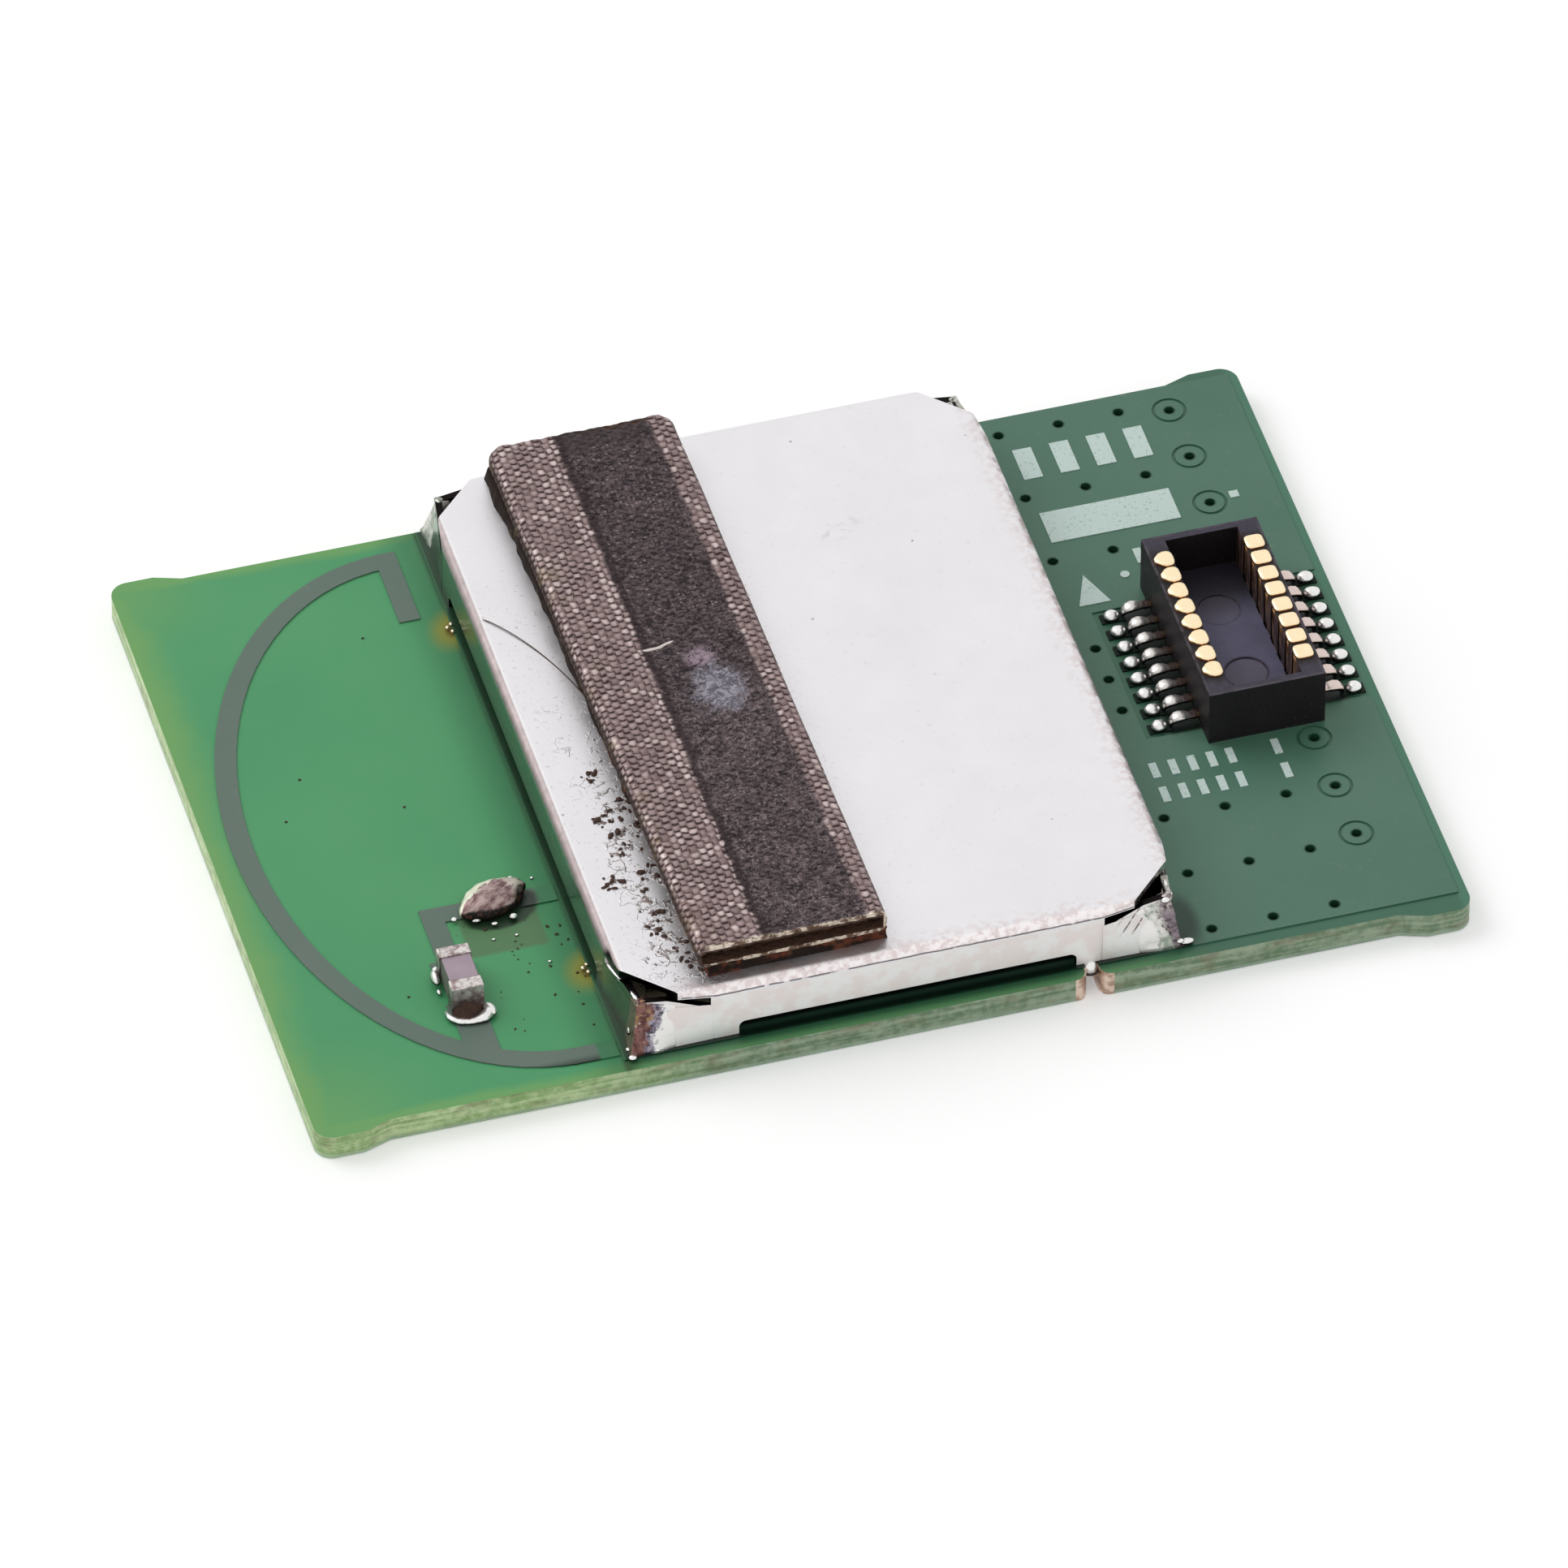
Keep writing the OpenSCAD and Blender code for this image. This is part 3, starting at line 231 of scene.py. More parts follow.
class Material:
    """A node material whose coordinates are millimetres in the part's frame."""

    def __init__(self, name, roughness=0.5, metallic=0.0, **sockets):
        self.material = bpy.data.materials.new(name)
        self.material.use_nodes = True
        self.tree = self.material.node_tree
        self.shader = self.tree.nodes["Principled BSDF"]
        self.shader.inputs["Roughness"].default_value = roughness
        self.shader.inputs["Metallic"].default_value = metallic
        for socket, value in sockets.items():
            self.shader.inputs[socket.replace("_", " ")].default_value = value
        coordinates = self.tree.nodes.new("ShaderNodeTexCoord")
        self.place = self.vector("SCALE", coordinates.outputs["Object"], 1 / MM)
        self.x, self.y, self.z = self.split(self.place)
        geometry = self.tree.nodes.new("ShaderNodeNewGeometry")
        self.normal_x, self.normal_y, self.normal_z = self.split(geometry.outputs["Normal"])
        self.heights = []

    def plug(self, value, socket):
        if isinstance(value, bpy.types.NodeSocket):
            self.tree.links.new(value, socket)
        elif value is not None:
            socket.default_value = value

    def split(self, vector):
        node = self.tree.nodes.new("ShaderNodeSeparateXYZ")
        self.plug(vector, node.inputs[0])
        return node.outputs

    def join(self, x, y, z):
        node = self.tree.nodes.new("ShaderNodeCombineXYZ")
        for value, socket in zip((x, y, z), node.inputs):
            self.plug(value, socket)
        return node.outputs[0]

    def vector(self, operation, a, b=None):
        node = self.tree.nodes.new("ShaderNodeVectorMath")
        node.operation = operation
        self.plug(a, node.inputs[0])
        self.plug(b, node.inputs["Scale" if operation == "SCALE" else 1])
        return node.outputs["Value" if operation in ("LENGTH", "DISTANCE") else "Vector"]

    def math(self, operation, a, b=None, c=None):
        node = self.tree.nodes.new("ShaderNodeMath")
        node.operation = operation
        for value, socket in zip((a, b, c), node.inputs):
            self.plug(value, socket)
        return node.outputs[0]

    def plus(self, a, b):
        return self.math("ADD", a, b)

    def minus(self, a, b):
        return self.math("SUBTRACT", a, b)

    def over(self, a, b):
        return self.math("DIVIDE", a, b)

    def absolute(self, a):
        return self.math("ABSOLUTE", a)

    def most(self, first, *others):
        for other in others:
            first = self.math("MAXIMUM", first, other)
        return first

    def least(self, first, *others):
        for other in others:
            first = self.math("MINIMUM", first, other)
        return first

    def waver(self, amount, *noise, **more):
        """Noise whose middle is 0 and whose full range is amount."""
        return self.times(self.minus(self.noise(*noise, **more), 0.5), amount)

    def step(self, value, low, high):
        """0 at low, 1 at high, smooth between. low may be above high."""
        node = self.tree.nodes.new("ShaderNodeMapRange")
        node.interpolation_type = "SMOOTHSTEP"
        self.plug(value, node.inputs["Value"])
        self.plug(low, node.inputs["From Min"])
        self.plug(high, node.inputs["From Max"])
        return node.outputs[0]

    def noise(self, size, detail=3.0, roughness=0.55, place=None, twist=0.0, shift=0.0):
        """Noise from 0 to 1 whose features are about size millimetres across."""
        node = self.tree.nodes.new("ShaderNodeTexNoise")
        node.inputs["Scale"].default_value = 1 / size
        node.inputs["Detail"].default_value = detail
        node.inputs["Roughness"].default_value = roughness
        node.inputs["Distortion"].default_value = twist
        where = place or self.place
        if shift:
            where = self.vector("ADD", where, (shift, shift * 0.7, shift * 1.3))
        self.plug(where, node.inputs["Vector"])
        return node.outputs[0]

    def cells(self, size, feature="F1", place=None, output=0, chance=1.0):
        node = self.tree.nodes.new("ShaderNodeTexVoronoi")
        node.feature = feature
        node.inputs["Scale"].default_value = 1 / size
        node.inputs["Randomness"].default_value = chance
        self.plug(place or self.place, node.inputs["Vector"])
        return node.outputs[output]

    def mix(self, amount, a, b, blend="MIX"):
        node = self.tree.nodes.new("ShaderNodeMix")
        node.data_type = "RGBA"
        node.blend_type = blend
        self.plug(amount, node.inputs[0])
        self.plug(a, node.inputs[6])
        self.plug(b, node.inputs[7])
        return node.outputs[2]

    def turned(self, degrees, origin):
        """Coordinates about an origin, along axes turned round z by so many degrees."""
        node = self.tree.nodes.new("ShaderNodeVectorRotate")
        node.rotation_type = "Z_AXIS"
        node.inputs["Angle"].default_value = -math.radians(degrees)
        self.plug(self.vector("SUBTRACT", self.place, tuple(origin)), node.inputs["Vector"])
        return node.outputs[0]

    def white(self, place):
        node = self.tree.nodes.new("ShaderNodeTexWhiteNoise")
        self.plug(place, node.inputs["Vector"])
        return node.outputs["Value"]

    def stretched(self, a, b, degrees, length):
        """Coordinates that run length times slower along a direction of the a, b plane."""
        cos, sin = math.cos(math.radians(degrees)), math.sin(math.radians(degrees))
        along = self.plus(self.times(a, cos), self.times(b, sin))
        across = self.minus(self.times(b, cos), self.times(a, sin))
        return self.join(self.over(along, length), across, 0.0)

    def ruffled(self, size, amount):
        """The coordinates, shifted here and there so that lines in them waver."""
        node = self.tree.nodes.new("ShaderNodeTexNoise")
        node.inputs["Scale"].default_value = 1 / size
        self.plug(self.place, node.inputs["Vector"])
        shift = self.vector("SUBTRACT", node.outputs["Color"], (0.5, 0.5, 0.5))
        return self.vector("ADD", self.place, self.vector("SCALE", shift, amount * 2))

    def near(self, x, y, inner, outer, stretch=1.0, turn=0.0):
        """1 round a point of the part, seen from above, fading to 0 at outer."""
        return self.spot(self.x, self.y, x, y, inner, outer, stretch, turn)

    def spot(self, a, b, x, y, inner, outer, stretch=1.0, turn=0.0):
        dx = self.minus(a, x)
        dy = self.minus(b, y)
        cos, sin = math.cos(math.radians(turn)), math.sin(math.radians(turn))
        along = self.plus(self.times(dx, cos), self.times(dy, sin))
        across = self.minus(self.times(dy, cos), self.times(dx, sin))
        along = self.over(along, stretch)
        distance = self.vector("LENGTH", self.join(along, across, 0.0))
        return self.step(distance, outer, inner)

    def band(self, value, low, high, soft):
        """1 where value lies between low and high, with soft edges."""
        return self.times(self.step(value, low - soft, low + soft),
                          self.step(value, high + soft, high - soft))

    def times(self, *values):
        result = values[0]
        for value in values[1:]:
            result = self.math("MULTIPLY", result, value)
        return result

    def colour(self, value):
        self.plug(value, self.shader.inputs["Base Color"])

    def rough(self, value, low, high):
        """Roughness from low to high as value goes from 0 to 1."""
        node = self.tree.nodes.new("ShaderNodeMapRange")
        self.plug(value, node.inputs["Value"])
        node.inputs["To Min"].default_value = low
        node.inputs["To Max"].default_value = high
        self.plug(node.outputs[0], self.shader.inputs["Roughness"])

    def raise_by(self, value, height):
        """Adds relief: value times height millimetres."""
        self.heights.append(self.times(value, height * MM))

    def done(self):
        if self.heights:
            total = self.heights[0]
            for value in self.heights[1:]:
                total = self.plus(total, value)
            bump = self.tree.nodes.new("ShaderNodeBump")
            bump.inputs["Strength"].default_value = 1
            bump.inputs["Distance"].default_value = 1
            self.plug(total, bump.inputs["Height"])
            self.plug(bump.outputs[0], self.shader.inputs["Normal"])
        return self.material


# Board and copper ----------------------------------------------------------------------

def mask_relief(m):
    """Fine unevenness of a solder-masked surface."""
    m.raise_by(m.noise(0.5, 2), 0.003)
    m.raise_by(m.noise(0.09, 2, shift=7.0), 0.0008)


def inside(m, low_x, high_x, low_y, high_y, soft):
    """1 in a rectangle of the plan, with soft edges."""
    return m.times(m.band(m.x, low_x, high_x, soft), m.band(m.y, low_y, high_y, soft))


def bridge_base_shadow(m):
    """Painted shadow round the foot of the hand-soldered bridge, heaviest on its front and right."""
    ragged = m.waver(0.9, 0.25, 3, shift=18.0)
    ring = m.near(BRIDGE_MIDDLE.x + 0.1, BRIDGE_MIDDLE.y - 0.12, 0.42, 0.74, 1.45, 12)
    return m.times(m.step(m.plus(ring, m.times(ragged, ring)), 0.2, 0.7), 0.85)


def laminate():
    m = Material("laminate", roughness=0.4, Specular_IOR_Level=0.45)
    wander = m.waver(1.0, 2.0, 3)
    green = m.mix(m.noise(4.0, 2), rgb(62, 150, 98), rgb(86, 165, 108))
    # Yellower at the antenna's edges of the board
    left = m.step(m.plus(m.x, wander), BOARD_LOW.x + 0.9, BOARD_LOW.x - 0.1)
    ends = m.minus(BOARD_HIGH_Y, m.absolute(m.y))
    rim = m.step(m.plus(ends, m.times(wander, 0.4)), 0.35, 0.05)
    corner = m.near(BOARD_LOW.x, -BOARD_HIGH_Y, 0.2, 3.2)
    corner = m.most(corner, m.near(BOARD_LOW.x, BOARD_HIGH_Y, 0.1, 2.6))
    yellow = m.most(m.times(left, 0.7), m.times(rim, 0.6), m.times(corner, 0.45))
    green = m.mix(yellow, green, rgb(124, 172, 92))
    # Painted shade beside the can with a painted shadow line at its wall's foot; old flux round the
    # hand-soldered bridge, and a painted shadow at the bridge's foot
    beside = m.step(m.plus(m.x, m.times(wander, 0.3)), CAN_LOW.x - 1.3, CAN_LOW.x - 0.05)
    green = m.mix(m.times(beside, 0.6), green, rgb(38, 100, 66))
    # Painted shadow line at the foot of the can's left wall
    edge = m.step(m.x, CAN_LOW.x - 0.22, CAN_LOW.x - 0.06)
    green = m.mix(m.times(edge, 0.75), green, rgb(44, 62, 34))
    flux = inside(m, BRIDGE_MIDDLE.x - 0.85, BRIDGE_MIDDLE.x + 0.85, BRIDGE_MIDDLE.y - 1.4,
                  BRIDGE_MIDDLE.y - 0.2, 0.07)
    spread = m.step(m.plus(m.near(BRIDGE_MIDDLE.x, BRIDGE_MIDDLE.y - 0.3, 0.4, 1.6),
                           m.waver(1.2, 0.4, 3)), 0.4, 0.9)
    flux = m.most(m.times(flux, 0.75), m.times(spread, 0.35))
    green = m.mix(flux, green, rgb(88, 116, 78))
    green = m.mix(bridge_base_shadow(m), green, rgb(18, 36, 22))
    dots = m.times(m.step(m.cells(0.26), 0.17, 0.1), m.step(m.noise(0.5, 2, shift=5.0), 0.5, 0.6),
                   m.most(m.near(BRIDGE_MIDDLE.x + 0.1, BRIDGE_MIDDLE.y - 0.9, 0.5, 1.3),
                          m.times(m.near(BRIDGE_MIDDLE.x + 0.2, BRIDGE_MIDDLE.y - 2.5, 0.5, 2.0),
                                  0.35)))
    green = m.mix(dots, green, rgb(30, 44, 24))
    for y in GOLD_SPOT_Y:
        halo = m.near(CAN_LOW.x - 0.14, y, 0.12, 0.6, 1.4, 70)
        green = m.mix(m.times(halo, 0.85), green, rgb(150, 144, 44))
        core = m.near(CAN_LOW.x - 0.12, y - 0.02, 0.06, 0.2, 1.6, 80)
        green = m.mix(m.times(core, 0.7), green, rgb(96, 62, 20))
    # Under and beyond the can the mask lies on copper, so it is darker
    dark = m.mix(m.noise(2.0, 3, shift=3.0), rgb(52, 98, 76), rgb(66, 112, 88))
    margin = m.step(m.x, BOARD_HIGH.x - 0.3, BOARD_HIGH.x - 0.15)
    dark = m.mix(m.times(margin, 0.9), dark, rgb(70, 122, 98))
    # Painted shadow of the can on the board's front margin, darkest next to the can and lighter
    # towards the board's edge
    shade = m.times(m.step(m.y, -BOARD_HIGH_Y + 0.55, -BOARD_HIGH_Y + 0.1),
                    m.step(m.x, CAN_HIGH.x + 1.0, CAN_HIGH.x - 1.5))
    front = m.mix(m.step(m.y, -BOARD_HIGH_Y + 0.32, -BOARD_HIGH_Y), rgb(28, 84, 54),
                  rgb(92, 150, 96))
    dark = m.mix(shade, dark, front)
    green = m.mix(m.step(m.x, CAN_LOW.x - 0.1, CAN_LOW.x + 0.3), green, dark)
    green = m.mix(unlit(m), green, rgb(8, 12, 10))
    # Bare glass cloth and resin on the cut edges, in thin layers
    slow = m.join(m.times(m.x, 0.06), m.times(m.y, 0.06), m.z)
    layers = m.noise(0.13, 3, place=slow)
    layers = m.plus(m.times(layers, 0.55), m.times(m.noise(0.22, 4, 0.65, shift=51.0), 0.45))
    side_left = m.mix(m.step(layers, 0.36, 0.62), rgb(136, 174, 104), rgb(206, 228, 174))
    side_right = m.mix(m.step(layers, 0.38, 0.62), rgb(102, 132, 98), rgb(164, 182, 154))
    side = m.mix(m.step(m.x, CAN_LOW.x - 2.0, CAN_LOW.x + 3.0), side_left, side_right)
    stain = m.times(m.step(m.noise(0.7, 4, place=m.join(m.x, m.y, m.times(m.z, 2.0))), 0.5, 0.7),
                    0.5)
    side = m.mix(stain, side, rgb(122, 112, 84))
    foot = m.step(m.z, 0.13, 0.05)
    side = m.mix(m.times(foot, 0.55), side, rgb(176, 200, 178))
    flat = m.step(m.absolute(m.normal_z), 0.4, 0.7)
    m.colour(m.mix(flat, side, green))
    m.rough(m.noise(0.4, 2, shift=9.0), 0.32, 0.5)
    mask_relief(m)
    return m.done()


def unlit(m):
    """1 where no light comes: inside the can, and on the board between the contacts' legs."""
    under = inside(m, CAN_LOW.x + 0.2, CAN_HIGH.x - 0.2, CAN_FRONT + 0.2, CAN_HIGH.y - 0.2, 0.06)
    middle = (HOUSING_LOW + HOUSING_HIGH) / 2
    away = m.minus(m.absolute(m.minus(m.x, middle.x)), (HOUSING_HIGH.x - HOUSING_LOW.x) / 2)
    legs = m.times(m.step(away, 0.85, 0.6), m.band(m.y, middle.y - 2.0, middle.y + 2.0, 0.1))
    return m.most(m.times(under, 0.95), m.times(legs, 0.9))


def masked_copper(name, dark, light):
    m = Material(name, roughness=0.38, Specular_IOR_Level=0.45)
    tone = m.mix(m.noise(3.0, 3), dark, light)
    tone = m.mix(m.times(m.step(m.noise(0.2, 3, shift=5.0), 0.62, 0.8), 0.3), tone,
                 rgb(120, 140, 118))
    shade = m.most(m.near(CAN_HIGH.x + 0.12, CAN_FRONT + 0.7, 0.15, 0.45, 2.4, 90),
                   m.band(m.x, CAN_HIGH.x - 0.3, CAN_HIGH.x + 0.12, 0.05))
    tone = m.mix(m.times(shade, 0.9), tone, rgb(16, 50, 34))
    # Painted shadow at the foot of the can's front wall, darkest right against it
    front = m.times(m.step(m.y, CAN_FRONT + 0.3, CAN_FRONT),
                    m.step(m.x, CAN_HIGH.x, CAN_HIGH.x - 1.0))
    tone = m.mix(front, tone, m.mix(m.step(m.y, CAN_FRONT - 0.18, CAN_FRONT - 0.06),
                                    rgb(34, 92, 58), rgb(8, 28, 18)))
    # Painted shadow along the foot of the can's left wall, darkest right against it
    beside = m.times(m.step(m.x, CAN_LOW.x + 0.4, CAN_LOW.x + 0.3),
                     m.step(m.x, CAN_LOW.x - 0.6, CAN_LOW.x - 0.5))
    tone = m.mix(beside, tone, m.mix(m.step(m.x, CAN_LOW.x - 0.13, CAN_LOW.x - 0.03),
                                     rgb(58, 122, 82), rgb(26, 60, 36)))
    tone = m.mix(unlit(m), tone, rgb(8, 12, 10))
    tone = m.mix(bridge_base_shadow(m), tone, rgb(20, 30, 22))
    m.colour(tone)
    m.rough(m.noise(0.4, 2, shift=9.0), 0.3, 0.46)
    mask_relief(m)
    return m.done()


def via_copper():
    m = Material("via_copper", roughness=0.45)
    m.colour(m.mix(m.noise(0.08), rgb(18, 62, 44), rgb(44, 92, 66)))
    m.raise_by(m.noise(0.05), 0.002)
    return m.done()


def shaded_copper():
    """The contacts' pads, of which only dark slits show between the solder."""
    m = Material("shaded_copper", roughness=0.6, Specular_IOR_Level=0.2)
    m.colour(m.mix(m.noise(0.1), rgb(8, 16, 13), rgb(22, 40, 32)))
    m.raise_by(m.noise(0.05), 0.002)
    return m.done()


def gold_plate():
    m = Material("gold_plate", roughness=0.4, metallic=1.0)
    tone = m.mix(m.noise(0.15), rgb(255, 248, 232), rgb(226, 204, 164))
    # The edge notch's plating is dull and pinkish
    notch = m.near(NOTCH_X, CAN_FRONT - 0.2, 0.8, 1.0)
    dimmed = m.mix(m.step(m.noise(0.2, 3, shift=5.0), 0.4, 0.6), rgb(150, 112, 96), rgb(222, 198, 184))
    m.colour(m.mix(m.times(notch, 0.8), tone, dimmed))
    m.rough(m.noise(0.1, shift=2.0), 0.3, 0.55)
    m.raise_by(m.noise(0.06), 0.002)
    return m.done()


def ink():
    m = Material("ink", roughness=0.6)
    m.colour(m.mix(m.step(m.noise(0.07, 3), 0.55, 0.75), rgb(204, 222, 216), rgb(150, 186, 172)))
    m.raise_by(m.noise(0.05), 0.002)
    return m.done()


# Parts -----------------------------------------------------------------------------------

def ceramic(name, dark, light, roughness=0.6, grain=0.06, side=None):
    m = Material(name, roughness=roughness)
    tone = m.mix(m.noise(grain * 6, 3), dark, light)
    # side: colour for the faces towards the antenna, a painted reflection of the board
    if side:
        tone = m.mix(m.times(m.step(m.normal_x, -0.3, -0.8), 0.85), tone, side)
    tone = m.mix(m.times(m.step(m.noise(grain, 2, shift=4.0), 0.6, 0.8), 0.4), tone, light)
    m.colour(tone)
    m.rough(m.noise(grain * 2, shift=6.0), roughness - 0.1, roughness + 0.1)
    m.raise_by(m.noise(grain, 3), 0.004)
    return m.done()


def tin():
    """End metal of the chip parts, mottled with flux, with painted shade on its upright faces."""
    m = Material("tin", roughness=0.4, metallic=0.7)
    tone = m.mix(m.step(m.noise(0.16, 4), 0.35, 0.62), rgb(150, 132, 130), rgb(222, 216, 212))
    spots = m.step(m.noise(0.07, 3, shift=4.0), 0.56, 0.68)
    tone = m.mix(m.times(spots, 0.6), tone, rgb(112, 92, 92))
    # Painted shade on the upright faces below the chip's top
    upright = m.times(m.step(m.normal_z, 0.6, 0.2),
                      m.step(m.plus(m.z, m.times(m.noise(0.2, 3), 0.3)), CAP_HIGH.z + 0.15,
                             CAP_HIGH.z - 0.3))
    m.colour(m.mix(m.times(upright, 0.8), tone, rgb(66, 54, 50)))
    m.rough(m.noise(0.12, shift=2.0), 0.25, 0.55)
    m.raise_by(m.noise(0.08, 3), 0.012)
    return m.done()


def solder():
    """Bright solder of the capacitor's fillets, with painted shade in brown where its hollow stands
    steep.
    """
    m = Material("solder", roughness=0.22, metallic=1.0)
    # Painted shade where the hollow stands steep
    steep = m.plus(m.normal_z, m.waver(0.9, 0.3, 4))
    steep = m.step(steep, 0.35, 0.05)
    bright = m.mix(m.noise(0.3, 3), rgb(248, 246, 242), rgb(214, 206, 202))
    shaded_hollow = m.mix(m.step(m.noise(0.2, 3, shift=11.0), 0.4, 0.65), rgb(62, 44, 42),
                  rgb(132, 104, 98))
    m.colour(m.mix(steep, bright, shaded_hollow))
    m.rough(steep, 0.18, 0.5)
    m.raise_by(m.noise(0.22, 3), 0.012)
    m.raise_by(m.noise(0.06, 2, shift=3.0), 0.003)
    return m.done()


def burnt_solder():
    """Old hand solder: brown with flux at the left corners, silver grey at the right ones."""
    m = Material("burnt_solder", roughness=0.4, metallic=0.5)
    lean = m.times(m.step(m.z, COPPER_TOP, FLAP_TOP), FLAP_IN)
    ragged = m.waver(0.75, 0.16, 4, 0.7, shift=15.0)
    white = m.mix(m.noise(0.4, 2), rgb(250, 246, 244), rgb(255, 254, 252))
    # Antenna side: a brown seam, then blue-grey patches, then the near white painted on the wall as
    # a reflection of the floor
    run = m.minus(m.minus(m.x, CAN_LOW.x), lean)
    run = m.plus(run, ragged)
    core = m.mix(m.step(m.noise(0.2, 4, 0.65), 0.38, 0.6), rgb(84, 50, 48), rgb(142, 98, 92))
    tan = m.times(m.step(m.noise(0.13, 3, shift=6.0), 0.53, 0.62), m.step(m.z, 1.0, 1.5))
    core = m.mix(m.times(tan, 0.8), core, rgb(172, 140, 92))
    spots = m.step(m.noise(0.09, 2, shift=4.0), 0.6, 0.7)
    core = m.mix(m.times(spots, 0.7), core, rgb(216, 196, 186))
    blue = m.mix(m.step(m.noise(0.12, 3, shift=9.0), 0.4, 0.6), rgb(64, 58, 78), rgb(168, 160, 176))
    left = m.mix(m.step(run, 0.32, 0.44), core, blue)
    left = m.mix(m.step(run, 0.5, 0.64), left, white)
    # Faces towards the antenna olive, a painted reflection of the board
    dimmed = m.mix(m.noise(0.18, 4, shift=3.0), rgb(70, 66, 50), rgb(140, 136, 114))
    left = m.mix(m.times(m.step(m.normal_x, -0.45, -0.75), 0.9), left, dimmed)
    # Connector side: mauve and black dots by the seam, grey-green, then white
    run = m.minus(m.minus(CAN_HIGH.x, m.x), lean)
    run = m.plus(run, ragged)
    core = m.mix(m.step(m.noise(0.15, 4, 0.65, shift=3.0), 0.38, 0.62), rgb(88, 76, 84),
                 rgb(150, 138, 144))
    core = m.mix(m.step(m.cells(0.15), 0.24, 0.14), core, rgb(26, 20, 24))
    core = m.mix(m.times(m.step(m.z, 1.35, 1.7), m.step(m.noise(0.1, 3, shift=8.0), 0.4, 0.55)),
                 core, rgb(214, 206, 200))
    pale = m.mix(m.step(m.noise(0.2, 3, shift=2.0), 0.4, 0.6), rgb(164, 174, 160),
                 rgb(232, 230, 224))
    right = m.mix(m.step(run, 0.3, 0.4), core, pale)
    right = m.mix(m.step(run, 0.48, 0.62), right, white)
    tone = m.mix(m.step(m.x, -0.5, 0.5), left, right)
    tone = m.mix(m.step(m.y, -0.5, 0.5), tone, pale)
    # The bridge: streaky mauve on top, a painted highlight on the side to the back left, painted
    # shade below and a painted shadow at its foot
    streaks = m.noise(0.13, 4, 0.65, place=m.stretched(m.x, m.y, 28, 2.4), shift=5.0)
    top = m.mix(m.step(streaks, 0.36, 0.62), rgb(110, 80, 82), rgb(182, 160, 156))
    lit = m.minus(m.times(m.normal_y, 0.62), m.times(m.normal_x, 0.62))
    lit = m.plus(lit, m.waver(0.7, 0.14, 3, shift=8.0))
    top = m.mix(m.step(lit, 0.12, 0.28), top, rgb(226, 228, 206))
    far = m.near(BRIDGE_MIDDLE.x + 0.5, BRIDGE_MIDDLE.y + 0.2, 0.1, 0.3)
    top = m.mix(m.times(far, m.step(streaks, 0.35, 0.5), 0.8), top, rgb(218, 206, 196))
    low = m.plus(m.normal_z, m.waver(0.5, 0.2, 3, shift=2.0))
    low = m.times(m.step(low, 0.8, 0.56), m.step(lit, 0.12, -0.08))
    top = m.mix(low, top, m.mix(m.step(m.noise(0.1, 3, shift=1.0), 0.5, 0.65), rgb(26, 16, 15),
                                rgb(96, 60, 48)))
    foot = m.step(m.z, COPPER_TOP + 0.14, COPPER_TOP + 0.06)
    top = m.mix(foot, top, rgb(16, 14, 10))
    tone = m.mix(m.step(m.x, CAN_LOW.x - 0.6, CAN_LOW.x - 0.7), tone, top)
    m.colour(tone)
    m.rough(m.noise(0.15, 3, shift=12.0), 0.3, 0.6)
    m.raise_by(m.noise(0.2, 3), 0.015)
    m.raise_by(m.noise(0.07, 3, shift=3.0), 0.006)
    return m.done()


def bead_tin():
    """Clean, bright solder of the fine-pitch feet, with painted shade on its steep and lower faces.
    """
    m = Material("bead_tin", roughness=0.25, metallic=0.85)
    tone = m.mix(m.noise(0.12, 2), rgb(252, 252, 250), rgb(226, 224, 222))
    m.colour(m.mix(m.step(m.normal_z, 0.4, -0.05), tone, rgb(60, 52, 50)))
    m.rough(m.noise(0.1, shift=2.0), 0.18, 0.35)
    m.raise_by(m.noise(0.07, 2), 0.005)
    return m.done()


def facing_in(m):
    """1 on the inside of the can's walls and lid."""
    centre = (CAN_LOW + CAN_HIGH) / 2
    across = m.times(m.normal_x, m.math("SIGN", m.minus(m.x, centre.x)))
    along = m.times(m.normal_y, m.math("SIGN", m.minus(m.y, centre.y)))
    inward = m.least(across, along, m.normal_z)
    return m.step(inward, -0.15, -0.4)


def flap_edges(m, tone):
    """Painted shade on the upper edges of the leaning wall ends, under the lid, and a painted
    highlight there by the connector.
    """
    up = m.times(m.step(m.normal_z, 0.6, 0.85), m.step(m.z, FLAP_TOP + 0.04, FLAP_TOP + 0.01),
                 m.step(m.z, FLAP_TOP - 0.5, FLAP_TOP - 0.4))
    right = m.times(m.step(m.x, CAN_HIGH.x - 0.36, CAN_HIGH.x - 0.3), m.noise(0.1, 3))
    edge = m.mix(right, rgb(24, 19, 19), rgb(232, 232, 222))
    return m.mix(up, tone, edge)


